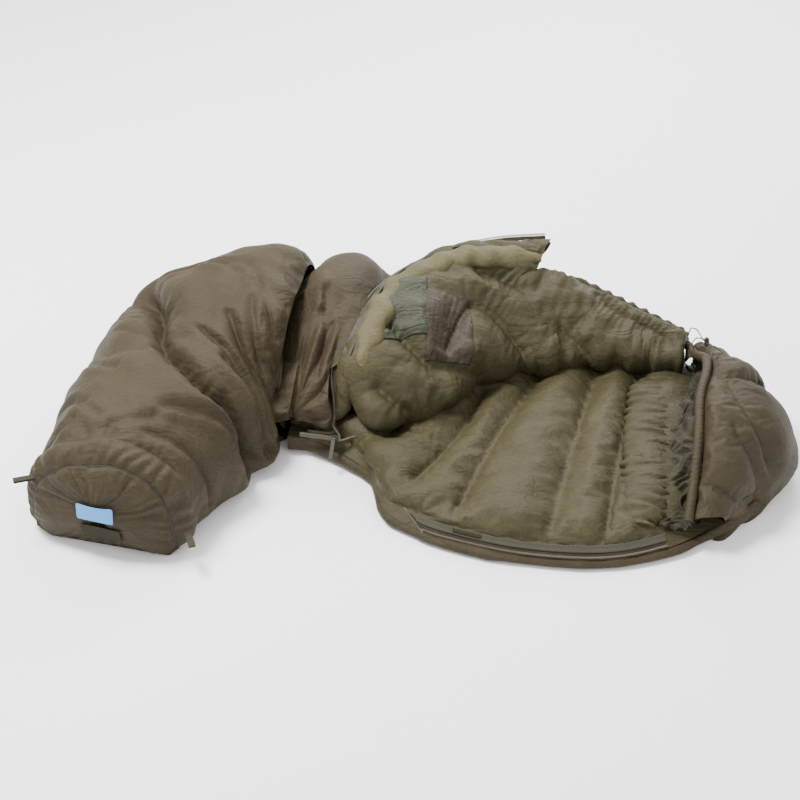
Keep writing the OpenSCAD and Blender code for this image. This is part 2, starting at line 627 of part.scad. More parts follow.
neck_lock_at = [640, 148, 66];
neck_lock_a = 0;
neck_lock_b = -50;
function in_neck_lock(p) = in_lock(neck_lock_at, neck_lock_a, neck_lock_b, p);
module on_neck() at_lock(neck_lock_at, neck_lock_a, neck_lock_b) children();

module neck_lock_body() color(dark_colour) placed() on_neck() lock_body();
module neck_lock_button() color(dark_colour) placed() on_neck() lock_button();
module neck_lock_spring() color(metal_colour) placed() on_neck() lock_spring();
module neck_cord_loop() color(dark_colour) placed()
    cord(curve([for (p = loop_route) in_neck_lock(p)], 31), cord_r);
module neck_draw_cord() color(dark_colour) placed()
    for (side = [-1, 1])
        cord(concat(curve([[608 + 4 * side, 116, 64], [614 + 5 * side, 140, 68],
                           in_neck_lock([-16, side * strand_y, cord_level])], 6),
                    [in_neck_lock([lock_r, side * strand_y, cord_level])]), cord_r);

// ---- The parts ----------------------------------------------------------

leg_outer_shell();
leg_insulation();
leg_lining();
foot_end_outer_panel();
foot_end_insulation();
foot_end_lining();
foot_loop_left();
foot_loop_right();
size_tag();
care_label();
back_outer_shell();
back_insulation();
back_lining();
front_outer_shell();
front_insulation();
front_lining();
upper_neck_baffle();
lower_neck_baffle();
flap_draft_tube();
inner_pocket();
hood_outer_shell();
hood_insulation();
hood_lining();
hood_rim_channel();
hood_rim_cord();
chin_channel();
chin_cord();
chin_outer_roll();
hood_hang_loop();
hook_and_loop_patch();
zip_tape_front();
zip_coil_front();
zip_facing_front();
zip_tape_back();
zip_coil_back();
zip_facing_back();
zip_label();
zip_slider_body();
zip_pull_tab();
hood_lock_body();
hood_lock_button();
hood_lock_spring();
hood_cord_loop();
neck_lock_body();
neck_lock_button();
neck_lock_spring();
neck_cord_loop();
neck_draw_cord();
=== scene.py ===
"""Mummy sleeping bag, folded at the knee, side zip open, front quilt turned back. Metres, model's frame."""
import math
import bpy
import numpy as np
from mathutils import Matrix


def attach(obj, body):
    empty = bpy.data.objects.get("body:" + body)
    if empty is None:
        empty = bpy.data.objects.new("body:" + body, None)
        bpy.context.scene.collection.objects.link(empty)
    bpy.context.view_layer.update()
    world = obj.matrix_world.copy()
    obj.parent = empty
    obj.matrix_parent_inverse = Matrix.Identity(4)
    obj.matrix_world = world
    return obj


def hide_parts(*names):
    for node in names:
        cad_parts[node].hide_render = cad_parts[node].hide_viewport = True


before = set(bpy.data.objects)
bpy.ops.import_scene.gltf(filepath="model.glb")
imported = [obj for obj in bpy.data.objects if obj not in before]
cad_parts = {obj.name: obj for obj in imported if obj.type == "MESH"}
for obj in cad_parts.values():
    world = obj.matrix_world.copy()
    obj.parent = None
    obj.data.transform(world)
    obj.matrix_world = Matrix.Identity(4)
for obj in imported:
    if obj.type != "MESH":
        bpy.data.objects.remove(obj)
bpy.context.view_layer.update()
scene = bpy.context.scene
HOME = np.array([-0.0126, -0.0444, 0.0])


# ---- camera -------------------------------------------------------------
TARGET = np.array([0.0, 0.0, 0.10]) + HOME
ELEVATION = math.radians(36.0)
DISTANCE = 4.2
cam_data = bpy.data.cameras.new("camera")
cam_data.lens = 81.3
cam_data.sensor_width = 36.0
cam_data.shift_x = -0.00375
cam_data.shift_y = 0.0125
cam_data.clip_end = 50.0
camera = bpy.data.objects.new("camera", cam_data)
camera.location = TARGET + DISTANCE * np.array([0.0, -math.cos(ELEVATION), math.sin(ELEVATION)])
camera.rotation_euler = (math.pi / 2 - ELEVATION, 0.0, 0.0)
scene.collection.objects.link(camera)
scene.camera = camera


# ---- curves, nets and meshes --------------------------------------------
def at(P, t):
    """Catmull-Rom curve through the rows of P, at each t from 0 to len(P) - 1."""
    P = np.asarray(P, float)
    Q = np.concatenate([[2 * P[0] - P[1]], P, [2 * P[-1] - P[-2]]])
    t = np.clip(np.asarray(t, float), 0, len(P) - 1)
    i = np.minimum(t.astype(int), len(P) - 2)
    f = (t - i).reshape(t.shape + (1,) * (P.ndim - 1))
    a, b, c, d = Q[i], Q[i + 1], Q[i + 2], Q[i + 3]
    return 0.5 * (2 * b + (c - a) * f + (2 * a - 5 * b + 4 * c - d) * f * f
                  + (3 * b - a - 3 * c + d) * f ** 3)


def surface(N, us, vs):
    """Net N at every pair of us (across its columns) and vs (along them)."""
    A = at(N, us)
    return np.stack([at(column, vs) for column in A])


def surface_at(N, uv):
    """Net N at the points uv, one by one."""
    out = []
    for u, v in uv:
        out.append(at(at(N, [u])[0], [v])[0])
    return np.array(out)


def normals(S, closed=False):
    u = np.gradient(S, axis=0)
    v = np.gradient(S, axis=1)
    if closed:
        v = (np.roll(S, -1, 1) - np.roll(S, 1, 1)) / 2
    n = np.cross(v, u)
    return n / np.maximum(np.linalg.norm(n, axis=-1, keepdims=True), 1e-9)


def metres(net):
    return np.array(net, float) / 1000 + HOME


def wave(S, scale, seed, stretch=(1, 1, 1)):
    """Smooth random field from -1 to 1 over the points S, built of a few dozen plane waves."""
    r = np.random.default_rng(seed)
    k = r.normal(size=(28, 3)) / scale * 2.6 / np.array(stretch)
    ph = r.uniform(0, 2 * math.pi, 28)
    P = S.reshape(-1, 3)
    return (np.sin(P @ k.T + ph).sum(1) / 5.3).reshape(S.shape[:-1])


def line_distance(S, line):
    """Distance in metres from each point of S to a polyline of world points."""
    P = S.reshape(-1, 3)
    best = np.full(len(P), 9.0)
    for a, b in zip(line[:-1], line[1:]):
        ab = b - a
        t = np.clip(((P - a) @ ab) / max(ab @ ab, 1e-12), 0, 1)
        best = np.minimum(best, np.linalg.norm(P - a - t[:, None] * ab, axis=1))
    return best.reshape(S.shape[:-1])


def lengths(S, axis):
    d = np.linalg.norm(np.diff(S, axis=axis), axis=-1)
    z = np.zeros_like(np.take(d, [0], axis=axis))
    return np.concatenate([z, np.cumsum(d, axis=axis)], axis=axis)


def mesh_object(name, verts, faces, uv=None):
    me = bpy.data.meshes.new(name)
    me.from_pydata([tuple(v) for v in verts], [], [tuple(f) for f in faces])
    me.validate()
    if uv is not None:
        layer = me.uv_layers.new(name="cloth")
        loop = np.zeros(len(me.loops), dtype=np.int32)
        me.loops.foreach_get("vertex_index", loop)
        layer.data.foreach_set("uv", np.asarray(uv, np.float32)[loop].ravel())
    ob = bpy.data.objects.new(name, me)
    scene.collection.objects.link(ob)
    me.polygons.foreach_set("use_smooth", np.ones(len(me.polygons), dtype=bool))
    return ob


def grid_faces(n, m, closed=False, start=0):
    i, j = np.meshgrid(np.arange(n - 1), np.arange(m if closed else m - 1), indexing="ij")
    k = (j + 1) % m
    a, b, c, d = i * m + j, (i + 1) * m + j, (i + 1) * m + k, i * m + k
    return (np.stack([a, d, c, b], -1).reshape(-1, 4) + start)


def grid_object(name, S, closed=False):
    """Quad mesh over S, its faces turned towards normals(S); its UVs are metres along the cloth."""
    n, m = S.shape[:2]
    uv = np.stack([lengths(S, 0), lengths(S, 1)], -1).reshape(-1, 2)
    return mesh_object(name, S.reshape(-1, 3), grid_faces(n, m, closed), uv)


def points_of(ob):
    co = np.zeros(len(ob.data.vertices) * 3, np.float32)
    ob.data.vertices.foreach_get("co", co)
    return co.reshape(-1, 3).astype(float)


def set_points(ob, P):
    ob.data.vertices.foreach_set("co", np.asarray(P, np.float32).ravel())
    ob.data.update()


def ripple(ob, hold, pressure, shrink, frames=16, cap=0.02, bend=0.08):
    """Cloth simulation with the vertices in hold pinned; its result is applied, no point moved over cap."""
    before = points_of(ob)
    group = ob.vertex_groups.new(name="hold")
    for weight in np.unique(np.round(hold[hold > 0.02], 1)):
        held = np.nonzero(np.isclose(np.round(hold, 1), weight))[0]
        group.add([int(i) for i in held], float(weight), "REPLACE")
    mod = ob.modifiers.new("cloth", "CLOTH")
    s = mod.settings
    s.quality = 5
    s.mass = 0.12
    s.tension_stiffness = 12
    s.compression_stiffness = 12
    s.shear_stiffness = 4
    s.bending_stiffness = bend
    s.tension_damping = 4
    s.compression_damping = 4
    s.shear_damping = 4
    s.bending_damping = 0.4
    s.air_damping = 2.0
    s.vertex_group_mass = "hold"
    s.pin_stiffness = 1.0
    s.shrink_min = shrink
    s.shrink_max = shrink
    s.use_pressure = True
    s.uniform_pressure_force = pressure
    s.use_pressure_volume = True
    s.target_volume = 0.0
    s.pressure_factor = 1.0
    s.effector_weights.gravity = 0.0
    mod.collision_settings.use_collision = False
    mod.point_cache.frame_start = 1
    mod.point_cache.frame_end = frames
    for f in range(1, frames + 1):
        scene.frame_set(f)
    got = ob.evaluated_get(bpy.context.evaluated_depsgraph_get())
    co = np.zeros(len(before) * 3, np.float32)
    got.data.vertices.foreach_get("co", co)
    moved = co.reshape(-1, 3) - before
    size = np.linalg.norm(moved, axis=1, keepdims=True)
    moved *= cap * np.tanh(size / cap) / np.maximum(size, 1e-9)
    ob.modifiers.remove(mod)
    set_points(ob, before + moved)
    scene.frame_set(1)
    return ob


def finish_cloth(ob, body, nodes, material, levels=1):
    if levels:
        sub = ob.modifiers.new("smooth", "SUBSURF")
        sub.levels = levels
        sub.render_levels = levels
    ob.data.materials.clear()
    ob.data.materials.append(material)
    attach(ob, body)
    if nodes:
        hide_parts(*nodes)
    return ob


def tube(name, P, radius, sides=16, rough=None, closed_ends=True, flat=(1.0, 1.0), up=None):
    """Tube along the points P. radius is a number or one per point; rough(i, angle) adds to it."""
    P = np.asarray(P, float)
    n = len(P)
    t = np.gradient(P, axis=0)
    t /= np.linalg.norm(t, axis=1, keepdims=True)
    r = np.broadcast_to(np.asarray(radius, float), (n,))
    side = np.zeros_like(P)
    g = np.array([0.0, 0.0, 1.0]) if up is None else np.asarray(up[0], float)
    for i in range(n):
        if up is not None:
            g = np.asarray(up[i], float)
        s = g - (g @ t[i]) * t[i]
        side[i] = s / np.linalg.norm(s)
        g = side[i]
    other = np.cross(t, side)
    a = 2 * math.pi * np.arange(sides) / sides
    R = r[:, None] * np.ones(sides)[None]
    if rough is not None:
        R = R + rough(lengths(P[:, None, :], 0)[:, 0][:, None], a[None])
    S = (P[:, None] + R[..., None] * (flat[0] * np.cos(a)[None, :, None] * side[:, None]
         + flat[1] * np.sin(a)[None, :, None] * other[:, None]))
    faces = [tuple(f[::-1]) for f in grid_faces(n, sides, True)]
    if closed_ends:
        faces.append(tuple(range(sides))[::-1])
        faces.append(tuple(range((n - 1) * sides, n * sides)))
    L = lengths(P[:, None, :], 0)[:, 0]
    uv = np.stack([np.repeat(L, sides), np.tile(a * float(r.mean()), n)], -1)
    return mesh_object(name, S.reshape(-1, 3), faces, uv)


# ---- materials ----------------------------------------------------------
def new_material(name):
    m = bpy.data.materials.new(name)
    m.use_nodes = True
    nt = m.node_tree
    nt.nodes.clear()
    out = nt.nodes.new("ShaderNodeOutputMaterial")
    sh = nt.nodes.new("ShaderNodeBsdfPrincipled")
    nt.links.new(sh.outputs[0], out.inputs[0])
    return m, nt, sh


def mix_colour(nt, fac, a, b):
    n = nt.nodes.new("ShaderNodeMix")
    n.data_type = "RGBA"
    if isinstance(fac, float):
        n.inputs[0].default_value = fac
    else:
        nt.links.new(fac, n.inputs[0])
    for sock, c in ((n.inputs[6], a), (n.inputs[7], b)):
        if isinstance(c, tuple):
            sock.default_value = (*c, 1)
        else:
            nt.links.new(c, sock)
    return n.outputs[2]


def noise(nt, vector, scale, detail=3.0, rough=0.55, distortion=0.0):
    n = nt.nodes.new("ShaderNodeTexNoise")
    n.inputs["Scale"].default_value = scale
    n.inputs["Detail"].default_value = detail
    n.inputs["Roughness"].default_value = rough
    n.inputs["Distortion"].default_value = distortion
    nt.links.new(vector, n.inputs["Vector"])
    return n.outputs[0]


def bump(nt, height, strength, distance, under=None):
    n = nt.nodes.new("ShaderNodeBump")
    n.inputs["Strength"].default_value = strength
    n.inputs["Distance"].default_value = distance
    nt.links.new(height, n.inputs["Height"])
    if under is not None:
        nt.links.new(under, n.inputs["Normal"])
    return n.outputs[0]


def stretched(nt, vector, scale, turn=(0, 0, 0)):
    n = nt.nodes.new("ShaderNodeMapping")
    n.inputs["Scale"].default_value = scale
    n.inputs["Rotation"].default_value = turn
    nt.links.new(vector, n.inputs["Vector"])
    return n.outputs[0]


def ramp(nt, value, lo, hi):
    n = nt.nodes.new("ShaderNodeMapRange")
    n.inputs[1].default_value = lo
    n.inputs[2].default_value = hi
    nt.links.new(value, n.inputs[0])
    return n.outputs[0]


def woven(name, base, worn, rough=0.72, sheen=0.25, crumple=0.5, weave=0.25, threads=620.0):
    """Woven cloth: two crossed sets of threads, fine crumples, slow changes of shade and a soft sheen."""
    m, nt, sh = new_material(name)
    co = nt.nodes.new("ShaderNodeTexCoord")
    obj = co.outputs["Object"]
    uv = co.outputs["UV"]
    shade = noise(nt, obj, 7.0, 4.0)
    speck = noise(nt, obj, 160.0, 3.0, 0.7)
    c1 = mix_colour(nt, ramp(nt, shade, 0.35, 0.68), base, worn)
    dark = tuple(0.80 * x for x in base)
    c2 = mix_colour(nt, ramp(nt, speck, 0.45, 0.75), c1, dark)
    nt.links.new(c2, sh.inputs["Base Color"])
    sh.inputs["Roughness"].default_value = rough
    sh.inputs["Sheen Weight"].default_value = sheen
    sh.inputs["Sheen Roughness"].default_value = 0.45
    sh.inputs["Sheen Tint"].default_value = (*[min(1.0, 2.2 * x) for x in worn], 1)
    sh.inputs["Specular IOR Level"].default_value = 0.20
    n2 = None
    for scale, amount, turn in ((7.0, crumple, 0.4), (16.0, 0.7 * crumple, 2.1), (38.0, 0.3 * crumple, 1.1)):
        n = noise(nt, stretched(nt, obj, (1.0, 2.2, 1.6), (0.5, turn, turn)), scale, 2.0, 0.5, 1.5)
        fold = nt.nodes.new("ShaderNodeMath")
        fold.operation = "PINGPONG"
        fold.inputs[1].default_value = 0.11
        nt.links.new(n, fold.inputs[0])
        n2 = bump(nt, fold.outputs[0], amount, 0.20 / scale, n2)
    waves = []
    for turn in (0.0, math.pi / 2):
        w = nt.nodes.new("ShaderNodeTexWave")
        w.inputs["Scale"].default_value = threads
        w.inputs["Distortion"].default_value = 0.6
        nt.links.new(stretched(nt, uv, (1, 1, 1), (0, 0, turn)), w.inputs["Vector"])
        waves.append(w.outputs[1])
    both = nt.nodes.new("ShaderNodeMath")
    both.operation = "MAXIMUM"
    nt.links.new(waves[0], both.inputs[0])
    nt.links.new(waves[1], both.inputs[1])
    nt.links.new(bump(nt, both.outputs[0], weave, 0.0004, n2), sh.inputs["Normal"])
    return m


def ribbed(name, base, dark, pitch=0.0042):
    """Ribbed tape: ribs across its length, from the UVs, with painted shade darkening the grooves between
    them.
    """
    m, nt, sh = new_material(name)
    co = nt.nodes.new("ShaderNodeTexCoord")
    w = nt.nodes.new("ShaderNodeTexWave")
    w.inputs["Scale"].default_value = 0.314 / pitch
    w.inputs["Distortion"].default_value = 0.4
    w.inputs["Detail"].default_value = 1.0
    nt.links.new(co.outputs["UV"], w.inputs["Vector"])
    # painted shade: the wave that raises the ribs also gives the low grooves the dark colour
    c = mix_colour(nt, w.outputs[1], dark, base)
    nt.links.new(c, sh.inputs["Base Color"])
    sh.inputs["Roughness"].default_value = 0.8
    sh.inputs["Sheen Weight"].default_value = 0.15
    n1 = bump(nt, w.outputs[1], 0.8, 0.0015)
    nt.links.new(bump(nt, noise(nt, co.outputs["Object"], 400.0), 0.3, 0.0006, n1), sh.inputs["Normal"])
    return m


def plain(name, base, rough=0.5, metal=0.0, grain=300.0, depth=0.0003, vary=0.25):
    m, nt, sh = new_material(name)
    co = nt.nodes.new("ShaderNodeTexCoord")
    n = noise(nt, co.outputs["Object"], grain, 4.0)
    c = mix_colour(nt, n, tuple((1 - vary) * x for x in base), tuple(min(1, (1 + vary) * x) for x in base))
    nt.links.new(c, sh.inputs["Base Color"])
    sh.inputs["Roughness"].default_value = rough
    sh.inputs["Metallic"].default_value = metal
    nt.links.new(bump(nt, n, 0.4, depth), sh.inputs["Normal"])
    return m


SHELL = woven("shell_cloth_m", (0.0290, 0.0210, 0.0092), (0.0395, 0.0292, 0.0136), 0.64, 0.10, 0.34)
HOODSHELL = woven("hood_cloth_m", (0.0295, 0.0222, 0.0103), (0.0390, 0.0296, 0.0142), 0.64, 0.10, 0.2)
LINING = woven("lining_cloth_m", (0.0350, 0.0290, 0.0117), (0.0480, 0.0405, 0.0178), 0.60, 0.10, 0.34)
ROLLCLOTH = woven("roll_cloth_m", (0.070, 0.060, 0.027), (0.090, 0.078, 0.037), 0.58, 0.10, 0.3)
DARKLINING = woven("hood_lining_m", (0.021, 0.0182, 0.0085), (0.030, 0.0258, 0.0125), 0.60, 0.10, 0.34)
POCKET = woven("pocket_cloth_m", (0.029, 0.0315, 0.0175), (0.039, 0.0415, 0.0245), 0.52, 0.04, 0.4)
POCKET2 = woven("pocket_cloth2_m", (0.029, 0.0212, 0.0115), (0.038, 0.0290, 0.0165), 0.52, 0.04, 0.4)
WEBBING = woven("webbing_m", (0.028, 0.025, 0.014), (0.040, 0.036, 0.021), 0.8, 0.05, 0.1, 0.9, 240.0)
# the second colour is painted shade for the rib grooves
FACING = ribbed("ribbed_facing_m", (0.044, 0.0365, 0.0165), (0.020, 0.0165, 0.008))
TAPE = woven("zip_tape_m", (0.026, 0.020, 0.012), (0.036, 0.028, 0.017), 0.8, 0.05, 0.1, 0.8, 300.0)
COIL = plain("zip_coil_m", (0.120, 0.105, 0.070), 0.45)
METAL = plain("slider_metal_m", (0.045, 0.042, 0.035), 0.42, 0.6)
PLASTIC = plain("lock_plastic_m", (0.020, 0.019, 0.014), 0.55)
STEEL = plain("spring_steel_m", (0.5, 0.5, 0.5), 0.3, 1.0)
CORD = woven("cord_m", (0.040, 0.036, 0.026), (0.075, 0.068, 0.050), 0.85, 0.2, 0.3, 1.0, 500.0)
LABEL = woven("woven_label_m", (0.020, 0.017, 0.0075), (0.030, 0.026, 0.012), 0.8, 0.05, 0.1, 0.8, 400.0)
TAG = plain("blue_tag_m", (0.055, 0.27, 0.60), 0.5, 0.0, 500.0, 0.0002, 0.06)
# near-black stitching thread: partly the thread's own colour, partly painted shade for the seam valleys it
# lies in
THREAD = plain("thread_m", (0.012, 0.010, 0.006), 0.8)
HOOKLOOP = plain("hook_and_loop_m", (0.062, 0.060, 0.032), 0.95, 0.0, 900.0, 0.0012, 0.4)
FLOOR = plain("floor_m", (0.95, 0.95, 0.95), 0.9, 0.0, 4.0, 0.0, 0.01)

# ---- free cords ---------------------------------------------------------
LOOP = np.array([[7, 1.7, 9.5], [17, 1.7, 9.5], [27.5, 1.7, 9.5], [36, 5, 8], [45, 10, 5], [54, 9, 4],
                 [59, 0, 4], [54, -9, 4], [45, -10, 5], [36, -5, 8], [27.5, -1.7, 9.5], [17, -1.7, 9.5],
                 [7, -1.7, 9.5]], float)


def lock_place(origin, a, b, P):
    a, b = math.radians(a), math.radians(b)
    x = P[:, 0] * math.cos(a) + P[:, 2] * math.sin(a)
    z = P[:, 2] * math.cos(a) - P[:, 0] * math.sin(a)
    y = P[:, 1]
    W = np.stack([x * math.cos(b) - y * math.sin(b), x * math.sin(b) + y * math.cos(b), z], -1)
    return (W + np.array(origin)) / 1000 + HOME


def free_loop(name, node, origin, a, b):
    P = at(lock_place(origin, a, b, LOOP), np.linspace(0, 12, 73))
    ob = tube(name, P, 0.0015, 10)
    finish_cloth(ob, "bag", [node], CORD, levels=0)
    return ob


free_loop("hood_cord", "hood_cord_loop", (714, 128, 194), -8, -68)
free_loop("neck_cord", "neck_cord_loop", (640, 148, 66), 0, -50)

# ---- nets, in millimetres -----------------
LEG = np.array([
    [-450, -352, -806, -258, 232], [-418, -300, -812, -190, 255], [-365, -205, -785, -50, 268],
    [-322, -110, -742, 105, 268], [-304, -66, -700, 270, 262], [-294, -48, -625, 410, 296],
    [-290, -40, -420, 520, 322], [-282, -32, -208, 515, 318]], float)
FRONT = [
    [[-200, 440, 72], [-202, 400, 164], [-208, 322, 226], [-218, 232, 240],
     [-230, 152, 222], [-243, 80, 175], [-257, 20, 128], [-264, -15, 84]],
    [[-150, 505, 72], [-152, 465, 166], [-160, 382, 232], [-172, 286, 246],
     [-186, 190, 226], [-201, 95, 176], [-217, 20, 126], [-222, -28, 84]],
    [[-92, 528, 72], [-92, 482, 158], [-100, 398, 214], [-114, 300, 222],
     [-128, 184, 202], [-144, 84, 166], [-158, 5, 128], [-163, -40, 90]],
    [[-38, 532, 72], [-38, 474, 132], [-46, 378, 154], [-54, 180, 122],
     [-58, -20, 112], [-90, 22, 170], [-119, 60, 196], [-140, 80, 208]],
    [[30, 525, 74], [30, 464, 116], [25, 352, 114], [20, 170, 92],
     [38, 18, 112], [22, 105, 192], [-10, 215, 232], [-50, 295, 245]],
    [[120, 515, 76], [120, 450, 102], [115, 350, 90], [110, 215, 84],
     [138, 100, 112], [135, 212, 207], [120, 325, 248], [95, 415, 268]],
    [[230, 490, 76], [228, 430, 90], [222, 350, 82], [215, 260, 82],
     [248, 184, 112], [248, 288, 203], [238, 378, 248], [225, 445, 285]],
    [[345, 455, 76], [342, 405, 84], [335, 345, 80], [335, 280, 80],
     [366, 218, 108], [362, 294, 184], [358, 378, 235], [355, 450, 292]],
]
UPPER_BAFFLE = [
    [[354, 452, 76], [350, 402, 84], [345, 342, 80], [345, 280, 80],
     [376, 218, 108], [374, 290, 168], [372, 348, 204], [370, 392, 220]],
    [[450, 412, 76], [448, 375, 84], [442, 330, 80], [445, 276, 80],
     [474, 220, 104], [474, 280, 156], [470, 325, 182], [466, 358, 188]],
    [[560, 362, 76], [558, 335, 82], [555, 300, 79], [558, 262, 80],
     [580, 218, 98], [580, 262, 136], [578, 292, 150], [576, 314, 154]],
    [[672, 272, 76], [672, 260, 80], [672, 246, 80], [672, 228, 82],
     [680, 204, 95], [682, 220, 116], [685, 234, 126], [688, 246, 130]],
]
BACK = [
    [[-268, -24, 46], [-260, 50, 50], [-245, 180, 50], [-228, 310, 50], [-212, 428, 50]],
    [[-215, -34, 44], [-206, 50, 50], [-193, 220, 50], [-174, 370, 50], [-155, 502, 50]],
    [[-155, -70, 34], [-140, 0, 54], [-125, 150, 50], [-108, 360, 50], [-92, 530, 50]],
    [[-82, -138, 24], [-84, -55, 60], [-65, 130, 52], [-45, 350, 50], [-25, 538, 50]],
    [[-44, -272, 24], [-30, -180, 54], [5, 80, 50], [25, 340, 50], [50, 535, 50]],
    [[22, -330, 20], [42, -252, 50], [62, 60, 50], [76, 330, 50], [95, 530, 50]],
    [[100, -374, 20], [112, -290, 50], [122, 50, 50], [130, 310, 50], [140, 524, 50]],
    [[255, -424, 20], [256, -338, 50], [252, 20, 50], [248, 290, 50], [245, 500, 50]],
    [[430, -440, 20], [426, -352, 50], [415, -10, 50], [405, 230, 50], [395, 455, 50]],
    [[570, -404, 22], [562, -320, 50], [562, -40, 50], [558, 190, 50], [555, 370, 50]],
    [[690, -338, 34], [684, -262, 50], [690, -70, 50], [690, 105, 50], [690, 260, 50]],
    [[780, -268, 50], [784, -210, 50], [790, -90, 50], [786, 20, 50], [776, 130, 50]],
    [[846, -196, 50], [852, -160, 50], [858, -110, 50], [856, -60, 50], [846, -8, 50]],
]
HOOD = [
    [[630, -372, 74], [656, -364, 74], [676, -350, 74], [692, -330, 74]],
    [[650, -290, 130], [704, -288, 130], [752, -268, 105], [783, -240, 76]],
    [[666, -200, 175], [744, -185, 183], [814, -165, 132], [842, -160, 76]],
    [[684, -80, 195], [760, -75, 193], [826, -70, 138], [850, -85, 76]],
    [[712, 20, 190], [770, 10, 183], [814, 0, 138], [836, 0, 76]],
    [[724, 110, 163], [762, 95, 153], [794, 85, 118], [808, 75, 76]],
    [[714, 190, 120], [740, 175, 115], [754, 162, 100], [770, 146, 76]],
]

# ---- sewing: seams as lines of (u, v) on a net ---------------------------
FRONT_SEAMS = [
    [(3.6, 6.1), (3.93, 5.0), (4.23, 4.57), (4.47, 4.5)], [(3.2, 4.7), (3.63, 4.1)],
    [(4.47, 4.5), (5.33, 4.0)], [(4.57, 4.67), (5.13, 5.13), (5.5, 4.93), (5.83, 4.6), (6.33, 4.07)],
    [(5.5, 5.8), (6.13, 5.43), (6.6, 5.1), (7.0, 4.6)]]
UPPER_SEAMS = [[(0.0, 4.6), (0.13, 4.5), (0.77, 4.0)], [(1.07, 6.4), (1.6, 5.6), (2.53, 5.37)]]
HOOD_SEAMS = [
    [(0.67, 0.7), (0.53, 2.2), (0.67, 3.0)], [(3.27, 0.6), (2.33, 1.03), (1.87, 1.43), (1.5, 2.0)],
    [(1.97, 0.8), (1.67, 1.03), (1.2, 1.87), (0.7, 3.0)], [(3.5, 0.27), (3.4, 0.6), (4.0, 2.5)],
    [(5.0, 0.3), (4.8, 1.5), (4.6, 3.0)]]
BACK_SEAMS = [
    [(184, 123), (120, -56), (27, -206)], [(333, 207), (213, -56), (126, -295)],
    [(485, 271), (398, -56), (312, -415)], [(579, 228), (499, -94), (434, -431)],
    [(60, 330), (20, 120), (-40, -60)], [(-60, 420), (-90, 220), (-140, 40)]]


def seam_lines(S_of, seams, n=14):
    return [S_of(np.stack([at(np.array(s, float)[:, k], np.linspace(0, len(s) - 1, n)) for k in (0, 1)], -1))
            for s in seams]


def sewn(S, lines, reach, gather=0.0026, wavelength=0.017, seed=1, pinned=0.006):
    """How full the quilt stands at each point of S (0 on a seam, 1 at reach), its gathers and its pins."""
    P = S.reshape(-1, 3)
    best = np.full(len(P), 9.0)
    phase = np.zeros(len(P))
    for k, line in enumerate(lines):
        run = 0.37 * k
        for a, b in zip(line[:-1], line[1:]):
            ab = b - a
            length = np.linalg.norm(ab)
            t = np.clip(((P - a) @ ab) / max(length ** 2, 1e-12), 0, 1)
            d = np.linalg.norm(P - a - t[:, None] * ab, axis=1)
            near = d < best
            best[near] = d[near]
            phase[near] = run + t[near] * length
            run += length
    best = best.reshape(S.shape[:-1])
    phase = phase.reshape(S.shape[:-1]) + 0.012 * wave(S, 0.10, seed)
    full = np.sqrt(np.clip(1 - (1 - np.clip(best / reach, 0, 1)) ** 2, 0, 1))
    puckers = gather * np.sin(2 * math.pi * phase / wavelength) * np.exp(-best / 0.030)
    puckers = puckers * np.clip(best / 0.004, 0, 1)
    puckers *= 0.6 + 0.6 * wave(S, 0.09, seed + 5)
    pins = np.exp(-(best / pinned) ** 2)
    return full, puckers, pins


def sewn_lines(name, S, lines, radius=0.0013, lift=0.0):
    """Rows of stitching drawn down into the seams of the finished quilt S, as one piece; the thread is real,
    and its near-black tone is partly painted shade for the seam valleys.
    """
    V, Q, n = [], [], 0
    P = S.reshape(-1, 3)
    for line in lines:
        line = even(line, 0.006)
        got = []
        for q in line:
            d = ((P - q) ** 2).sum(1)
            k = np.argsort(d)[:4]
            w = 1 / (d[k] + 1e-8)
            got.append((P[k] * w[:, None]).sum(0) / w.sum())
        got = np.array(got)
        if len(got) < 6:
            continue
        got[1:-1] = (got[:-2] + got[1:-1] + got[2:]) / 3
        t = tube("t", got + [0, 0, lift], radius, 6)
        V.append(points_of(t))
        Q += [tuple(i + n for i in f.vertices) for f in t.data.polygons]
        n += len(V[-1])
        bpy.data.objects.remove(t)
    ob = mesh_object(name, np.concatenate(V), Q)
    return finish_cloth(ob, "bag", [], THREAD, levels=0)


def even(P, step):
    P = np.asarray(P, float)
    run = lengths(P[:, None], 0)[:, 0]
    s = np.linspace(0, run[-1], max(4, int(run[-1] / step)))
    return np.stack([np.interp(s, run, P[:, k]) for k in range(3)], -1)


def borders(S):
    """Distance of each grid point from the grid's first and last rows and first and last columns."""
    U, V = lengths(S, 0), lengths(S, 1)
    return U, U[-1][None] - U, V, V[:, -1][:, None] - V


def rounded(e, r):
    return np.sqrt(np.clip(1 - (1 - np.clip(e / r, 0, 1)) ** 2, 0, 1))


def pin_mask(shape, rows=(0, -1), columns=(0, -1)):
    p = np.zeros(shape)
    for i in rows:
        p[i] = 1
    for j in columns:
        p[:, j] = 1
    return p


def pillow(name, top, bottom):
    """Closed mesh of two grids that share their border points."""
    n, m = top.shape[:2]
    edge = np.zeros((n, m), bool)
    edge[0] = edge[-1] = True
    edge[:, 0] = edge[:, -1] = True
    index = np.arange(n * m).reshape(n, m)
    under = index.copy()
    inner = ~edge
    under[inner] = n * m + np.arange(inner.sum())
    verts = np.concatenate([top.reshape(-1, 3), bottom[inner]])
    f1 = grid_faces(n, m)
    f2 = under.reshape(-1)[f1][:, ::-1]
    uv = np.stack([lengths(top, 0), lengths(top, 1)], -1)
    uv = np.concatenate([uv.reshape(-1, 2), uv[inner]])
    return mesh_object(name, verts, np.concatenate([f1, f2]), uv), under


# ---- leg section --------------------------------------------------------
def leg_frame(t):
    s = at(LEG, t)
    a = np.concatenate([s[..., 0:2], 0 * s[..., :1]], -1) / 1000 + HOME
    b = np.concatenate([s[..., 2:4], 0 * s[..., :1]], -1) / 1000 + HOME
    return a, b, s[..., 4] / 1000


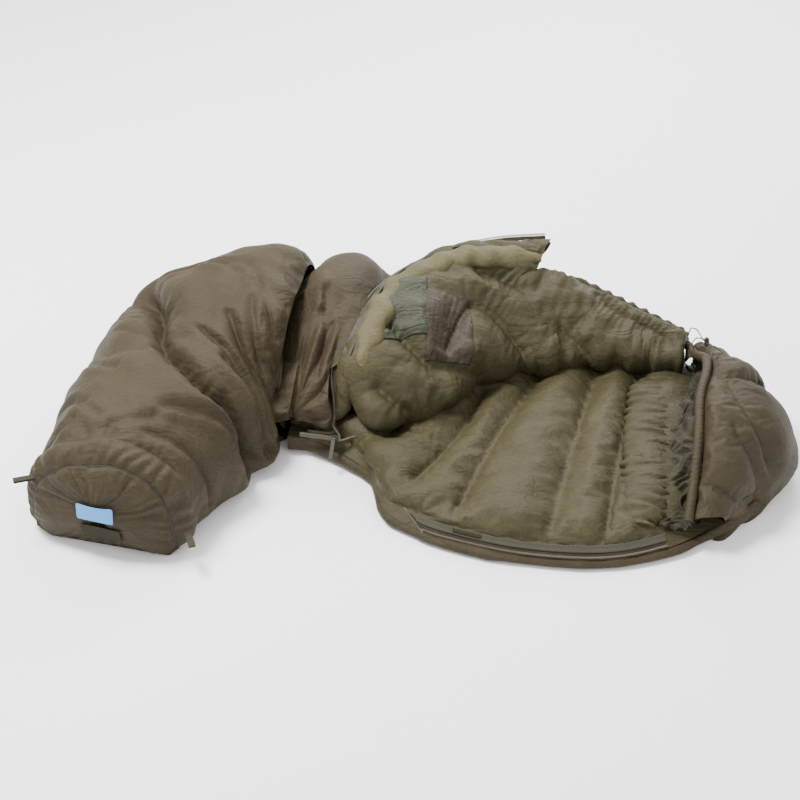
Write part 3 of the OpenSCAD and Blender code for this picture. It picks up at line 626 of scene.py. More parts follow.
FOOT_A, FOOT_B, FOOT_H = leg_frame(np.array([0.0]))
FOOT_E = (FOOT_B - FOOT_A)[0] / np.linalg.norm(FOOT_B - FOOT_A)
FOOT_OUT = np.cross([0, 0, 1], FOOT_E)
FOOT_REACH = 0.060


def leg_surface(ts, top=110, under=34, d=0.0):
    """Rings round the leg at stations ts. Below 0 they run straight on to the foot's seam, at -1."""
    ang = np.concatenate([np.linspace(0, math.pi, top), np.full(under, np.nan)])
    w = np.concatenate([(1 - np.sign(np.cos(ang[:top])) * np.abs(np.cos(ang[:top])) ** 0.85) / 2,
                        1 - np.linspace(0, 1, under + 2)[1:-1]])
    lift = np.concatenate([np.sin(np.clip(ang[:top], 0, math.pi)) ** 0.75, np.zeros(under)])
    a, b, h = leg_frame(np.maximum(ts, 0))
    push = np.minimum(ts, 0)[:, None] * -FOOT_REACH * FOOT_OUT[None]
    e = (b - a) / np.linalg.norm(b - a, axis=1, keepdims=True)
    a, b, h = a + push + d * e, b + push - d * e, h - 2 * d
    S = b[:, None] + (a - b)[:, None] * w[None, :, None]
    S[..., 2] += d + h[:, None] * lift[None]
    r = 0.055
    inset = 0.042 * (1 - np.sqrt(np.clip(1 - (1 - np.clip(S[..., 2] / r, 0, 1)) ** 2, 0, 1)))
    mid, half = (a + b)[:, None] / 2, np.linalg.norm(a - b, axis=1)[:, None, None] / 2
    S[..., :2] = (mid + (S - mid) * (1 - inset[..., None] / half))[..., :2]
    return S, np.concatenate([ang[:top] / math.pi, np.linspace(1, 0, under + 2)[1:-1]])


leg_ts = np.concatenate([np.linspace(-1, 0, 10)[:-1], np.linspace(0, 7, 140)])
L, leg_angle = leg_surface(leg_ts)
leg_n = normals(L, True)
leg_top = np.concatenate([np.ones(110), np.zeros(34)])[None]


def leg_line(points, n=40):
    P = np.array(points, float)
    k = np.linspace(0, len(P) - 1, n)
    t, f = at(P[:, 0], k), at(P[:, 1], k)
    i = np.clip(np.searchsorted(leg_ts, t), 0, len(leg_ts) - 1)
    j = np.clip((f * 109).round().astype(int), 0, 109)
    return L[i, j]


KNEE_CREASE = [(4.5, .25), (4.0, .4), (3.0, .5), (2.5, .65), (2.5, .8), (2.5, .95)]
first = leg_line(KNEE_CREASE)
dist = line_distance(L, first)
crease_at = np.interp(leg_angle, [a for _, a in KNEE_CREASE], [t for t, _ in KNEE_CREASE])
foot_side = (leg_ts[:, None] < crease_at[None]) & (dist > 0)
swell = leg_top * np.where(foot_side, 0.020, 0.010) * np.exp(-((dist - 0.060) / 0.045) ** 2)
push = -0.040 * np.exp(-(dist / 0.020) ** 2) + swell
folds = [([(7.0, .95), (5.0, .95), (3.0, .95)], .010), ([(3.0, .95), (3.5, .8), (3.5, .65)], .012),
         ([(3.25, .95), (3.75, .7), (4.0, .55)], .011), ([(3.5, .95), (4.25, .75), (5.0, .6)], .010),
         ([(4.5, .95), (5.25, .75), (5.75, .6)], .009), ([(2.25, .95), (2.0, .8), (1.5, .6)], .008),
         ([(1.0, .95), (1.0, .8), (0.75, .6)], .006), ([(1.5, .1), (1.5, .3), (1.0, .45)], .007),
         ([(3.0, .05), (2.5, .25), (2.25, .4)], .007), ([(5.75, .5), (5.5, .4), (5.0, .3)], .007),
         ([(0.25, .2), (0.75, .3), (1.0, .35)], .006), ([(0.25, .5), (0.75, .5), (1.25, .6)], .006),
         ([(6.25, .75), (6.0, .5), (5.5, .4)], .008)]
for points, deep in folds:
    dd = line_distance(L, leg_line(points, 16))
    push += -deep * np.exp(-(dd / 0.010) ** 2) + 0.45 * deep * np.exp(-((dd - 0.024) / 0.014) ** 2)
seam_d = np.linalg.norm(L - L[0][None], axis=-1)
around = lengths(np.concatenate([L[0], L[0][:1]])[:, None], 0)[:-1, 0]
push += -0.020 * np.exp(-(seam_d / 0.009)) + 0.010 * np.exp(-((seam_d - 0.045) / 0.03) ** 2)
gathers = np.sin(2 * math.pi * (around[None] + 0.02 * wave(L, .12, 3)) / 0.034)
push += 0.0045 * np.exp(-seam_d / 0.045) * np.clip(seam_d / 0.006, 0, 1) * gathers * leg_top
push += leg_top * (0.006 * wave(L, 0.16, 11) + 0.0035 * wave(L, 0.06, 12, (1, 1, 1.6)))
lip = np.linalg.norm(L - L[-1][None], axis=-1)
inward = np.clip(1 - lip / 0.035, 0, 1)
push += -0.030 * inward ** 2
floor_soft = np.clip(L[..., 2] / 0.03, 0, 1)
leg_shape = L + leg_n * (push * np.where(leg_top > 0, np.maximum(floor_soft, 0.15), 0.0))[..., None]
leg_shape[..., 2] = np.maximum(leg_shape[..., 2], 0.0006)
leg_shell = grid_object("leg_shell", leg_shape, True)
hold = np.exp(-(seam_d / 0.006) ** 2) + 0.55 * np.exp(-(dist / 0.012) ** 2) + (1 - leg_top)
hold = hold + (lip < 0.004) + (L[..., 2] < 0.02)
ripple(leg_shell, np.clip(hold, 0, 1).ravel(), 3.2, -0.055, 18, 0.016)
finish_cloth(leg_shell, "bag", ["leg_outer_shell", "leg_insulation"], SHELL)

leg_pts = points_of(leg_shell).reshape(leg_shape.shape)
rim = leg_pts[0]
middle = rim.mean(0)
rho = np.linspace(1, 0.03, 46)
cap = middle + rho[:, None, None] * (rim - middle)[None]
radial = np.linalg.norm(cap - rim[None], axis=-1)
dome = 0.036 * (1 - rho ** 3)[:, None] ** 0.7 + 0 * radial
gathers = np.sin(2 * math.pi * (around[None] + 0.02 * wave(cap, .1, 8)) / 0.030)
dome += 0.0028 * np.exp(-radial / 0.035) * np.clip(radial / 0.005, 0, 1) * gathers
dome += 0.005 * wave(cap, 0.13, 21) * (1 - rho)[:, None]
cap = cap + FOOT_OUT * dome[..., None]
cap[..., 2] = np.maximum(cap[..., 2], 0.0006)
n_cap, m_cap = cap.shape[:2]
cap_faces = [tuple(f[::-1]) for f in grid_faces(n_cap, m_cap, True)]
cap_faces.append(tuple(range((n_cap - 1) * m_cap, n_cap * m_cap)))
cap_uv = np.stack([(cap - middle) @ FOOT_E, cap[..., 2]], -1).reshape(-1, 2)
foot_panel = mesh_object("foot_panel", cap.reshape(-1, 3), cap_faces, cap_uv)
hold = np.zeros(cap.shape[:2])
hold[0] = 1
hold[cap[..., 2] < 0.004] = 1
ripple(foot_panel, hold.ravel(), 2.5, -0.05, 16, 0.010)
finish_cloth(foot_panel, "bag", ["foot_end_outer_panel", "foot_end_insulation"], SHELL)
foot_pts = points_of(foot_panel).reshape(cap.shape)

piping = np.concatenate([rim, rim[:3]])
piping = tube("foot_piping", piping + FOOT_OUT * 0.001, 0.0026, 8, None, False)
finish_cloth(piping, "bag", [], THREAD, levels=0)
inner_ts = np.linspace(-0.4, 7, 46)
I, _ = leg_surface(inner_ts, 50, 14, 0.050)
I = I + normals(I, True) * (0.008 * wave(I, 0.08, 31))[..., None]
nearest = np.round(np.linspace(0, leg_pts.shape[1] - 1, I.shape[1])).astype(int)
I[-1] = I[-1] * 0.35 + 0.65 * leg_pts[-1][nearest]
leg_sleeve = grid_object("leg_sleeve", I, True)
finish_cloth(leg_sleeve, "bag", ["leg_lining"], LINING, 1)
shrink = np.linspace(1, 0.05, 12)
back_cap = I[0].mean(0) + shrink[:, None, None] * (I[0] - I[0].mean(0))[None]
back_cap = back_cap + FOOT_OUT * (0.03 * (1 - shrink ** 2))[:, None, None]
inner_faces = [tuple(f) for f in grid_faces(12, I.shape[1], True)]
inner_faces.append(tuple(range(11 * I.shape[1], 12 * I.shape[1]))[::-1])
foot_inner = mesh_object("foot_inner", back_cap.reshape(-1, 3), inner_faces, back_cap[..., :2].reshape(-1, 2))
finish_cloth(foot_inner, "bag", ["foot_end_lining"], LINING, 1)


def foot_place(x, z, off=0.0):
    """Point of the foot panel x along its seam from the middle and z up, lifted off it."""
    flatpts = foot_pts.reshape(-1, 3)
    px, pz = (flatpts - middle) @ FOOT_E, flatpts[:, 2]
    out = []
    for a, b in zip(np.ravel(x), np.ravel(z)):
        d = (px - a) ** 2 + (pz - b) ** 2
        k = np.argsort(d)[:6]
        w = 1 / (d[k] + 1e-7)
        g = np.exp(-d / 0.0004)
        depth = float(((flatpts - middle) @ FOOT_OUT * g).sum() / g.sum()) + 0.003
        out.append(middle + a * FOOT_E + (depth + off) * FOOT_OUT + np.array([0, 0, b - middle[2]]))
    return np.array(out).reshape(np.shape(x) + (3,))


def foot_badge(name, x0, x1, z0, z1, corner, thick, n=22, m=14):
    """Thin rounded patch on the foot panel."""
    X, Z = np.meshgrid(np.linspace(-1, 1, n), np.linspace(-1, 1, m), indexing="ij")
    hx, hz = (x1 - x0) / 2, (z1 - z0) / 2
    cx, cz = np.maximum(np.abs(X) * hx - (hx - corner), 0), np.maximum(np.abs(Z) * hz - (hz - corner), 0)
    over = np.hypot(cx, cz)
    shrink = np.where(over > corner, corner / np.maximum(over, 1e-9), 1)
    X2 = np.sign(X) * (np.minimum(np.abs(X) * hx, hx - corner) + cx * shrink)
    Z2 = np.sign(Z) * (np.minimum(np.abs(Z) * hz, hz - corner) + cz * shrink)
    P = foot_place((x0 + x1) / 2 + X2, (z0 + z1) / 2 + Z2, 0.0030)
    ob, _ = pillow(name, P + FOOT_OUT * thick, P)
    return ob


blue = foot_badge("size_badge", -0.040, 0.048, 0.098, 0.140, 0.008, 0.0020)
finish_cloth(blue, "bag", ["size_tag"], TAG, 1)
woven_tag = foot_badge("sewn_label", -0.052, 0.044, 0.040, 0.084, 0.002, 0.0010)
finish_cloth(woven_tag, "bag", ["care_label"], LABEL, 1)

# ---- front quilt --------------------------------------------------------
NU, NV = 118, 132
us, vs = np.linspace(0, 7, NU), np.linspace(0, 7, NV)
F = surface(metres(FRONT), us, vs)
pull = np.clip((us[:, None] - 5.7) / 1.3, 0, 1) ** 1.5 * np.exp(-((vs[None] - 5.7) / 0.75) ** 2)
F = F + pull[..., None] * np.array([-0.055, 0.0, -0.012])
F[-1, -1] += [0.016, 0, 0]
F[-1, -6:-1] += np.linspace(0.2, 0.8, 5)[:, None] * [0.016, 0, 0]
drop = np.clip((0.75 - us[:, None]) / 0.75, 0, 1) * np.exp(-((vs[None] - 3.2) / 1.7) ** 2)
F_n = normals(F)
U0, U1, V0, V1 = borders(F)
front_at = lambda uv: surface_at(metres(FRONT), uv)
lines = seam_lines(front_at, FRONT_SEAMS)
full, puckers, pins = sewn(F, lines, 0.062)
thick = 0.021 * rounded(V1, 0.030) * rounded(V0 + 0.004, 0.030)
dep = -(0.20 + 0.80 * full) * thick - 0.020 * full * rounded(V1, 0.06) - puckers * 1.2
dep += 0.0035 * wave(F, 0.05, 41) * full
lin = F + F_n * dep[..., None]
front_quilt = grid_object("front_quilt", lin)
hold = np.clip(pins + pin_mask(pins.shape), 0, 1)
ripple(front_quilt, hold.ravel(), -3.0, -0.07, 18, 0.014)
finish_cloth(front_quilt, "bag", ["front_lining", "front_insulation"], LINING)
lin_pts = points_of(front_quilt).reshape(lin.shape)


def net_rows(q, n=40):
    """Points of the lining's grid along the line q of (u, v)."""
    q = np.array(q, float)
    k = np.linspace(0, len(q) - 1, n)
    i = np.clip((at(q[:, 0], k) / 7 * (NU - 1)).round().astype(int), 0, NU - 1)
    j = np.clip((at(q[:, 1], k) / 7 * (NV - 1)).round().astype(int), 0, NV - 1)
    return lin[i, j]


sewn_lines("stitching_front", lin_pts, [net_rows(q) for q in FRONT_SEAMS])
loft = thick + 0.010 * rounded(V1, 0.05) * rounded(V0, 0.05)
loft = loft + 0.007 * wave(F, 0.12, 43) + 0.003 * wave(F, 0.045, 44)
sh = F + F_n * loft[..., None]
fan = [[(0.1, 6.9), (0.5, 5.6), (0.8, 4.0)], [(0.1, 6.9), (0.9, 5.9), (1.4, 4.4)],
       [(0.15, 7.0), (1.1, 6.4), (1.9, 5.6)], [(0.1, 6.7), (0.25, 5.0), (0.4, 3.2)],
       [(0.2, 7.0), (1.3, 6.8), (2.2, 6.6)], [(0.9, 3.4), (1.2, 4.6), (1.3, 5.6)]]
for line in seam_lines(front_at, fan, 12):
    dd = line_distance(F, line)
    sh += F_n * (-0.010 * np.exp(-(dd / 0.008) ** 2) + 0.004 * np.exp(-((dd - 0.02) / 0.011) ** 2))[..., None]
sh = sh + drop[..., None] * np.array([-0.02, 0, -0.045])
fall = np.array([0, 0, -0.45])
above = np.clip(sh[0][:, 2:3] - 0.05, 0, 1)
tuck = [sh[0] + f * np.array([-0.085, -0.012, 0.0]) + fall * f * above for f in np.linspace(1, 0, 14)[:-1]]
sh = np.concatenate([np.stack(tuck), sh])
front_shell = grid_object("front_shell", sh)
ripple(front_shell, pin_mask(sh.shape[:2]).ravel(), 3.0, -0.06, 16, 0.014)
finish_cloth(front_shell, "bag", ["front_outer_shell"], SHELL)


def net_patch(name, corners, n, m, off):
    """Patch sewn on the quilt's lining, its corners given as (u, v)."""
    c = np.array(corners, float)
    a, b = np.meshgrid(np.linspace(0, 1, n), np.linspace(0, 1, m), indexing="ij")
    shares = ((1 - a) * (1 - b), a * (1 - b), a * b, (1 - a) * b)
    uv = sum(share[..., None] * corner for share, corner in zip(shares, c))
    iu, iv = uv[..., 0] / 7 * (NU - 1), uv[..., 1] / 7 * (NV - 1)
    i, j = np.clip(iu.astype(int), 0, NU - 2), np.clip(iv.astype(int), 0, NV - 2)
    fu, fv = (iu - i)[..., None], (iv - j)[..., None]
    P = ((1 - fu) * (1 - fv) * lin_pts[i, j] + fu * (1 - fv) * lin_pts[i + 1, j]
         + fu * fv * lin_pts[i + 1, j + 1] + (1 - fu) * fv * lin_pts[i, j + 1])
    N = F_n[i, j]
    e = np.minimum(np.minimum(a, 1 - a), np.minimum(b, 1 - b))
    lift = off * (0.5 + np.clip(e / 0.12, 0, 1))
    ob, _ = pillow(name, P - N * (lift + 0.0012)[..., None], P - N * 0.0008)
    return ob


pocket = net_patch("pocket_left", [(4.0, 6.75), (4.5, 6.0), (4.25, 5.0), (3.5, 5.5)], 30, 34, 0.0035)
finish_cloth(pocket, "bag", ["inner_pocket"], POCKET)
pocket2 = net_patch("pocket_right", [(4.4, 5.8), (5.2, 5.25), (5.0, 4.3), (4.1, 4.7)], 30, 34, 0.0030)
finish_cloth(pocket2, "bag", ["inner_pocket"], POCKET2)


# ---- the flap's edge: draft tube, facing, tape and coil ------------------
def edge_frames(N, ts):
    last = N.shape[1] - 1
    E = N[:, last]
    inner = np.stack([at(c, [last - 0.2])[0] for c in N])
    p = at(E, ts)
    w = p - at(inner, ts)
    w /= np.linalg.norm(w, axis=1, keepdims=True)
    u = at(E, np.minimum(ts + 0.05, len(N) - 1)) - at(E, np.maximum(ts - 0.05, 0))
    n = np.cross(w, u)
    return p, w, n / np.linalg.norm(n, axis=1, keepdims=True)


ts = np.linspace(2.1, 7, 190)
ep, ew, en = edge_frames(metres(FRONT), ts)
keep = ts >= 2.1 + 4.9 * 6 / 36


def flap(w, n, mask=slice(None)):
    return (ep + w * ew + n * en)[mask]


def gathered(amount, pitch, seed):
    r = np.random.default_rng(seed)
    k = r.uniform(0.7, 1.5, 6) / pitch * 2 * math.pi
    ph, sh = r.uniform(0, 6.3, 6), r.integers(-2, 3, 6)
    return lambda s, a: amount * sum(np.sin(k[i] * s + sh[i] * a + ph[i]) for i in range(6)) / 2.4


rolled = keep & (ts < 6.85)
draft = flap(-0.062, -0.036, rolled)
from_end = np.minimum(np.arange(len(draft)) / 24, np.arange(len(draft))[::-1] / 34)
ramp_ends = np.sqrt(1 - (1 - np.clip(from_end, 0.03, 1)) ** 2)
roll = tube("draft_roll", draft, 0.026 * ramp_ends, 30, gathered(0.0030, 0.075, 3), True, (1.2, 0.85),
            ew[rolled])
finish_cloth(roll, "bag", ["flap_draft_tube"], ROLLCLOTH)


def strip(name, A, B, thick, across=5, bulge=0.0):
    """Closed strip between line A and line B."""
    f = np.linspace(0, 1, across)
    S = A[:, None] * (1 - f[None, :, None]) + B[:, None] * f[None, :, None]
    n = normals(S)
    S = S + n * (bulge * np.sin(math.pi * f))[None, :, None]
    ob, _ = pillow(name, S + n * thick / 2, S - n * thick / 2)
    return ob


faced = keep & (ts < 5.4)
face_out, face_in = flap(-0.002, -0.020, faced), flap(-0.030, -0.044, faced)
facing = strip("facing_flap", face_out, face_in, 0.003, 7, -0.003)
finish_cloth(facing, "bag", ["zip_facing_front"], FACING)

ZIP_AT = np.array([-158.0, -68, 68])
TURN, TILT = math.radians(-12), math.radians(60)


def in_zip(p):
    y, z = p[1] * math.cos(TILT) - p[2] * math.sin(TILT), p[1] * math.sin(TILT) + p[2] * math.cos(TILT)
    x, y = p[0] * math.cos(TURN) - y * math.sin(TURN), p[0] * math.sin(TURN) + y * math.cos(TURN)
    return (ZIP_AT + [x, y, z]) / 1000 + HOME


def smooth_path(P, n=8):
    return at(P, np.linspace(0, len(P) - 1, n * (len(P) - 1) + 1))


def coil(name, P):
    """Zip coil: a wire wound round the line P."""
    P = even(P, 0.0008)
    t = np.gradient(P, axis=0)
    t /= np.linalg.norm(t, axis=1, keepdims=True)
    up = np.array([0.0, 0, 1]) - t * t[:, 2:3]
    up /= np.linalg.norm(up, axis=1, keepdims=True)
    ov = np.cross(t, up)
    s = lengths(P[:, None], 0)[:, 0]
    a = 2 * math.pi * s / 0.0048
    W = P + 0.0019 * (np.cos(a)[:, None] * up * 1.15 + np.sin(a)[:, None] * ov)
    return tube(name, W, 0.0012, 5)


front_line = np.concatenate([[in_zip([x, 2.8, 0]) for x in (-82, -30, 12)],
                             flap(0.0151, 0, slice(0, None, 4))])
cf = coil("coil_flap", smooth_path(front_line, 6))
finish_cloth(cf, "bag", ["zip_coil_front"], COIL, levels=0)
ta = np.concatenate([[in_zip([x, 4.9, 0]) for x in (-82, -35, 12)], flap(0.013, 0, slice(0, None, 3))])
tb = np.concatenate([[in_zip([x, 13.9, 0]) for x in (-82, -35, 12)], flap(-0.001, 0, slice(0, None, 3))])
tf = strip("tape_flap", ta, tb, 0.0009, 4)
finish_cloth(tf, "bag", ["zip_tape_front"], TAPE)

# ---- upper baffle, channels and chin roll --------------------------------
grown = surface_at(metres(FRONT), [(6.2, v) for v in (0, 1, 2, 3, 4, 4.85, 5.45, 5.95)])
UBN = np.concatenate([[grown], metres(UPPER_BAFFLE)])
UB = surface(UBN, np.linspace(0, 4, 82), np.linspace(0, 7, 96))
ub_n = normals(UB)
ub_lines = seam_lines(lambda uv: surface_at(UBN, uv + [1, 0]), UPPER_SEAMS)
full, puckers, pins = sewn(UB, ub_lines, 0.05, 0.004, 0.014, 5)
a0, a1, b0, b1 = borders(UB)
body = rounded(a0 + 0.003, 0.045) * rounded(a1 + 0.003, 0.02)
body = body * rounded(b1 + 0.003, 0.02) * rounded(b0 + 0.003, 0.02)
puffed = body * (0.010 + 0.022 * full) + puckers + 0.004 * wave(UB, 0.035, 61) * body
under = UB - ub_n * puffed[..., None]
over = UB + ub_n * (body * 0.020)[..., None]
upper, _ = pillow("neck_baffle_upper", under, over)
vg = np.zeros(len(upper.data.vertices))
vg[:UB.shape[0] * UB.shape[1]] = np.clip(pins + pin_mask(pins.shape), 0, 1).ravel()
vg[UB.shape[0] * UB.shape[1]:] = 1
upper.data.flip_normals()
ripple(upper, vg, 2.5, -0.07, 16, 0.012)
finish_cloth(upper, "bag", ["upper_neck_baffle"], LINING)

HD = metres(HOOD)
neck_end = metres([[699, 236, 116], [712, 232, 108], [724, 222, 94], [736, 206, 74]])
HDX = np.concatenate([HD, [neck_end]])
rim_line = np.stack([c[0] - 0.0125 * (c[1] - c[0]) / np.linalg.norm(c[1] - c[0]) for c in HDX])
rim_path = even(at(rim_line, np.linspace(0, 7, 175)), 0.004)
channel_hood = tube("hood_channel", rim_path, 0.0112, 18, gathered(0.0011, 0.012, 6))
finish_cloth(channel_hood, "bag", ["hood_rim_channel"], HOODSHELL)
cp, cw, cn = edge_frames(metres(UPPER_BAFFLE), np.linspace(0, 3, 90))
chin = tube("chin_tunnel", cp + 0.012 * cw, 0.0112, 16, gathered(0.0012, 0.012, 9))
finish_cloth(chin, "bag", ["chin_channel"], LINING)
roll_path = at(metres([[392, 431, 190], [472, 406, 162], [577, 362, 128], [652, 314, 112], [696, 278, 108]]),
               np.linspace(0, 4, 70))
roll_ends = np.clip(np.minimum(np.arange(70), np.arange(70)[::-1]) / 7, 0.2, 1) ** 0.5
chin_roll = tube("chin_roll", roll_path, 0.0215 * roll_ends, 24, gathered(0.0022, 0.03, 12), True,
                 (1.15, 0.9))
finish_cloth(chin_roll, "bag", ["chin_outer_roll"], SHELL)

# ---- hood ----------------------------------------------------------------
hv = np.linspace(0, 3, 56)
HS = surface(HDX, np.linspace(0, 7, 136), hv)
h_n = normals(HS)
h_lines = seam_lines(lambda uv: surface_at(HDX, uv), HOOD_SEAMS)
full, puckers, pins = sewn(HS, h_lines, 0.085, 0.0022, 0.022, 9)
rise = rounded(lengths(HS, 1), 0.03)
hood_out = HS + h_n * (rise * (0.012 + 0.022 * full) + puckers + 0.004 * wave(HS, 0.09, 71) * full)[..., None]
skirt = []
for f in np.linspace(0, 1, 17)[1:]:
    row = hood_out[:, -1].copy()
    outward = HS[:, -1] - HS[:, -2]
    outward[:, 2] = 0
    outward /= np.linalg.norm(outward, axis=1, keepdims=True)
    row = row + outward * (0.016 * math.sin(math.pi * min(1, 0.9 * f)) - 0.030 * max(0, f - 0.6) / 0.4)
    row[:, 2] = row[:, 2] * (1 - f) + 0.001 * f
    skirt.append(row)
hood_all = np.concatenate([hood_out, np.stack(skirt, 1)], 1)
hood_shell = grid_object("hood_shell", hood_all)
hold = np.zeros(hood_all.shape[:2])
hold[:, :hood_out.shape[1]] = pins
hold[0] = hold[-1] = 1
hold[:, 0] = hold[:, -1] = 1
ripple(hood_shell, np.clip(hold, 0, 1).ravel(), 3.0, -0.05, 18, 0.014)
finish_cloth(hood_shell, "bag", ["hood_outer_shell", "hood_insulation"], HOODSHELL)
hood_pts = points_of(hood_shell).reshape(hood_all.shape)
sewn_lines("stitching_hood", hood_pts, [line + [0, 0, 0.012] for line in h_lines], 0.0011)
run = lengths(HS, 0)
gathers = np.sin(2 * math.pi * (run + 0.02 * wave(HS, .08, 78)) / 0.022) * np.exp(-lengths(HS, 1) / 0.06)
hl = HS - h_n * (rise * 0.020 + 0.004 * wave(HS, 0.05, 77) + 0.0035 * gathers)[..., None]
hood_lining = grid_object("hood_inside", hl)
ripple(hood_lining, np.clip(pin_mask(hl.shape[:2]), 0, 1).ravel(), -1.5, -0.05, 12, 0.008)
finish_cloth(hood_lining, "bag", ["hood_lining"], DARKLINING)

# ---- back quilt -----------------------------------------------------------
BK = metres(BACK)
bu = np.linspace(0, 12, 150)
bv = np.linspace(0, 4, 112)
B = surface(BK, bu, bv)
b_up = -normals(B)
b_up = np.where(b_up[..., 2:3] < 0, -b_up, b_up)


def on_floor(points):
    P = np.array([[x, y, 50.0] for x, y in points]) / 1000 + HOME
    return at(P, np.linspace(0, len(P) - 1, 18))


b_lines = [on_floor(s) for s in BACK_SEAMS]
full, puckers, pins = sewn(B, b_lines, 0.075, 0.0034, 0.018, 15, 0.008)
a0, a1, b0, b1 = borders(B)
rim_e = rounded(np.minimum(np.clip(b0 - 0.042, 0, 1), b1), 0.05)
high = rim_e * (0.030 * full - 0.016 * (1 - full)) + puckers + 0.004 * wave(B, 0.07, 81) * full * rim_e
high = high * np.clip((0.66 - (B[..., 0] - 0.25 * (B[..., 1] + 0.1))) / 0.10, 0.0, 1.0)
quilt = B + b_up * high[..., None]
back_quilt = grid_object("back_quilt", quilt)
back_quilt.data.flip_normals()
hold = np.clip(pins + pin_mask(pins.shape) + (b0 < 0.035), 0, 1)
ripple(back_quilt, hold.ravel(), 3.0, -0.06, 18, 0.015)
finish_cloth(back_quilt, "bag", ["back_lining", "back_insulation"], LINING)
back_pts = points_of(back_quilt).reshape(quilt.shape)
sewn_lines("stitching_back", back_pts, [line + [0, 0, -0.010] for line in b_lines],
           0.0012, 0.0006)

# tray: from the near edge round under the floor side and up again to the far edge
near_edge, far_edge = B[:, 0], B[:, -1]


def wall(edge, inner, steps, fat):
    out = edge - inner
    out[:, 2] = 0
    out /= np.linalg.norm(out, axis=1, keepdims=True)
    rows = [edge.copy()]
    for f in steps:
        r = edge.copy()
        r[:, 2] = edge[:, 2] * (1 - f) + 0.0012 * f
        r = r + out * (fat * math.sin(math.pi * min(1.0, 0.12 + 0.8 * f)) - fat * max(0.0, f - 0.8) * 3)
        rows.append(r)
    return rows


down = wall(near_edge, B[:, 12], np.linspace(0.02, 1, 14), 0.016)
up = wall(far_edge, B[:, -13], np.linspace(0.02, 1, 10), 0.016)[::-1]
flat_rows = [down[-1] * (1 - f) + up[0] * f for f in np.linspace(0, 1, 40)[1:-1]]
T = np.stack(down + flat_rows + up, 1)
tn = normals(T)
T = T + tn * ((0.0025 * wave(T, 0.05, 91)) * (T[..., 2] > 0.006))[..., None]
T[..., 2] = np.maximum(T[..., 2], 0.0008)
back_shell = grid_object("back_shell", T)
finish_cloth(back_shell, "bag", ["back_outer_shell"], SHELL)

path = at(metres([[512, -368, 54], [538, -255, 64], [556, -95, 66], [578, 40, 66], [596, 165, 64]]),
          np.linspace(0, 4, 120))
ends = np.clip(np.minimum(np.arange(120), np.arange(120)[::-1]) / 12, 0.3, 1) ** 0.5
puff = gathered(0.0030, 0.034, 17)
drawn = gathered(0.0050, 0.016, 18)


def drawn_up(s, a):
    """Puffs all round the baffle, and tight gathers along its drawn edge."""
    turn = (a - math.pi / 2 + math.pi) % (2 * math.pi) - math.pi
    return puff(s, a) + drawn(s, 0 * a) * np.exp(-turn ** 2 / 0.5)


lower = tube("neck_baffle_lower", path, 0.030 * ends, 48, drawn_up, True, (0.85, 1.72),
             np.tile([0.0, 0, 1], (120, 1)))
finish_cloth(lower, "bag", ["lower_neck_baffle"], LINING)

# the hood's own lining, gathered between the lower baffle and the rim
low_line = at(metres([[560, -366, 62], [586, -240, 68], [606, -90, 70], [628, 40, 70], [650, 165, 68]]),
              np.linspace(0, 4, 130))
top_line = at(rim_line + [0.024, 0, -0.020], np.linspace(0, 7, 130))
top_line[:, 2] = np.maximum(top_line[:, 2] * 0.86, 0.066)
f = np.linspace(0, 1, 40)[None, :, None]
G = low_line[:, None] * (1 - f) + top_line[:, None] * f
G = G - np.array([0, 0, 0.012]) * np.sin(math.pi * f)
gr = lengths(G, 0)
pleats = np.sin(2 * math.pi * (gr + 0.05 * wave(G, 0.07, 95)) / 0.036)
pleats = 0.007 * pleats * np.sin(math.pi * np.linspace(0.08, 1, 40))[None]
G = G + normals(G) * (pleats + 0.006 * wave(G, 0.035, 96))[..., None]
nest = grid_object("hood_nest", G)
finish_cloth(nest, "bag", ["hood_lining"], DARKLINING)

# the cloth that closes the neck between the baffle's end and the hood's far corner
gusset_a = at(metres(UPPER_BAFFLE)[-1], np.linspace(3.5, 7, 14))
gusset_b = at(rim_line, np.linspace(5.5, 7, 14))
gusset = strip("neck_gusset", gusset_a, gusset_b, 0.003, 8, 0.006)
finish_cloth(gusset, "bag", ["hood_lining"], DARKLINING)

a, b = np.meshgrid(np.linspace(0, 0.044, 12), np.linspace(0, 0.028, 9), indexing="ij")
t20 = math.radians(20)
hl_p = np.stack([0.572 + a * math.cos(t20) - b * math.sin(t20),
                 -0.348 + a * math.sin(t20) + b * math.cos(t20), 0.0520 + 0 * a], -1) + HOME
patch, _ = pillow("hook_patch", hl_p + [0, 0, 0.003], hl_p)
finish_cloth(patch, "bag", ["hook_and_loop_patch"], HOOKLOOP)

# ---- the back quilt's zip -------------------------------------------------
zu = np.linspace(4.99, 9.05, 170)
row0, row1 = np.moveaxis(surface(BK, zu, np.linspace(0, 0.5, 2)), 1, 0)


def edge_strip(s, h):
    return row0 * (1 - s) + row1 * s + [0, 0, h]


hump = at(metres([[-122, -62, 66], [-98, -58, 71], [-78, -66, 72], [-64, -96, 70], [-54, -150, 64],
                  [-46, -212, 52]]), np.linspace(0, 5, 40))


def left_of(P, d, up):
    t = np.gradient(P, axis=0)
    s = np.cross([0, 0, 1.0], t)
    return P + d * s / np.linalg.norm(s, axis=1, keepdims=True) + [0, 0, up]


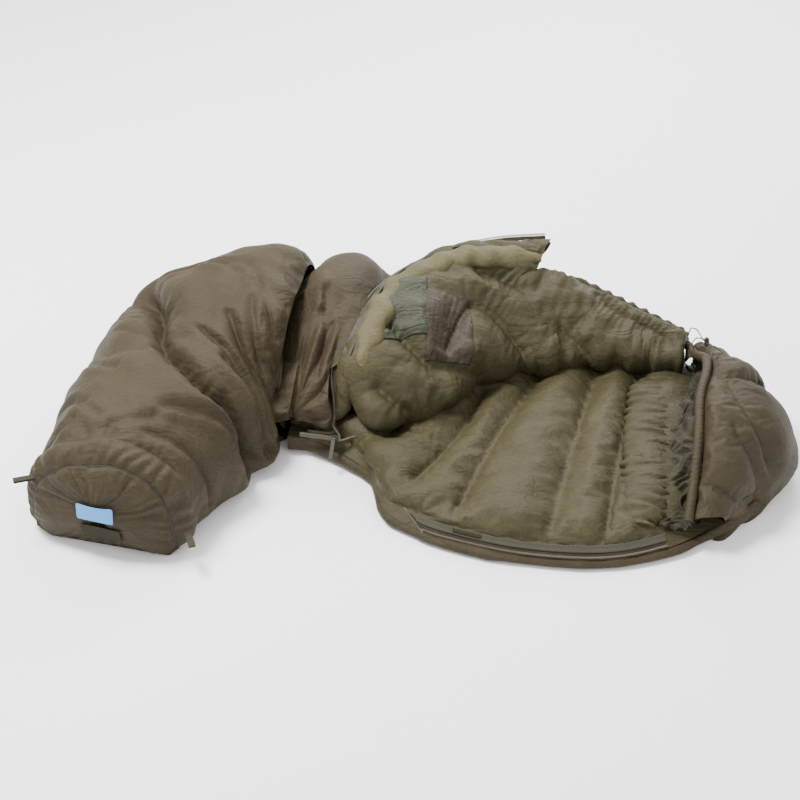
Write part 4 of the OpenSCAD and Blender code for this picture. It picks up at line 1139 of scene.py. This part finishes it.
back_coil = np.concatenate([[in_zip([x, -2.8, 0]) for x in (-82, -30, 12)], hump[::4],
                            edge_strip(0.06, 0.0044)[8::4]])
cb = coil("coil_back", smooth_path(back_coil, 6))
finish_cloth(cb, "bag", ["zip_coil_back"], COIL, levels=0)
tape_1, tape_2 = [np.concatenate([[in_zip([x, y, 0]) for x in (-82, -35, 12)],
                                  left_of(hump, aside, -0.001)[::3], edge_strip(s, 0.0032)[8::2]])
                  for y, aside, s in ((-4.9, 0.0024, 0.13), (-12.9, 0.010, 0.36))]
tbk = strip("tape_back", tape_1, tape_2, 0.0009, 4)
finish_cloth(tbk, "bag", ["zip_tape_back"], TAPE)
fb = strip("facing_back", edge_strip(0.40, 0.0030), edge_strip(0.98, 0.0040), 0.003, 7, 0.003)
finish_cloth(fb, "bag", ["zip_facing_back"], FACING)
pick = (zu > 6.0) & (zu < 6.5)
lb = strip("zip_tag", edge_strip(0.50, 0.0066)[pick], edge_strip(0.80, 0.0070)[pick], 0.0012, 4)
finish_cloth(lb, "bag", ["zip_label"], LABEL)

k = np.linspace(0, math.pi, 30)
arch = (np.stack([0 * k + 816, -14 - 11 * np.cos(k), 176 + 18 * np.sin(k)], -1)) / 1000 + HOME
hang = strip("hood_hanger", arch, arch + [0.008, 0, 0], 0.0016, 4)
finish_cloth(hang, "bag", ["hood_hang_loop"], WEBBING)

# ---- the parts kept from the model ----------------------------------------
KEPT = {
    "zip_slider_body": METAL, "zip_pull_tab": METAL, "hood_lock_body": PLASTIC, "hood_lock_button": PLASTIC,
    "hood_lock_spring": STEEL, "neck_lock_body": PLASTIC, "neck_lock_button": PLASTIC,
    "neck_lock_spring": STEEL, "foot_loop_left": WEBBING, "foot_loop_right": WEBBING, "hood_rim_cord": CORD,
    "chin_cord": CORD, "neck_draw_cord": CORD}
for node, material in KEPT.items():
    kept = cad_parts[node]
    kept.data.materials.clear()
    kept.data.materials.append(material)

# ---- floor and light -------------------------------------------------------
bpy.ops.mesh.primitive_plane_add(size=30, location=(0, 0, -0.0006))
floor = bpy.context.object
floor.name = "floor"
floor.data.materials.append(FLOOR)


def area_light(name, place, size, power, aim=(0, 0, 0.1)):
    d = bpy.data.lights.new(name, "AREA")
    d.shape = "DISK"
    d.size = size
    d.energy = power
    o = bpy.data.objects.new(name, d)
    o.location = place
    v = np.array(aim) - np.array(place)
    pitch = math.atan2(math.hypot(v[0], v[1]), -v[2])
    o.rotation_euler = (pitch, 0, math.atan2(-v[0], v[1]))
    scene.collection.objects.link(o)


area_light("key", (-1.7, 0.2, 3.4), 1.3, 330)
area_light("fill", (2.4, -3.0, 2.2), 3.0, 50)
area_light("back", (1.0, 2.8, 2.4), 2.0, 150)
world = bpy.data.worlds.new("room")
scene.world = world
world.use_nodes = True
world.node_tree.nodes["Background"].inputs[0].default_value = (1, 1, 1, 1)
world.node_tree.nodes["Background"].inputs[1].default_value = 1.25
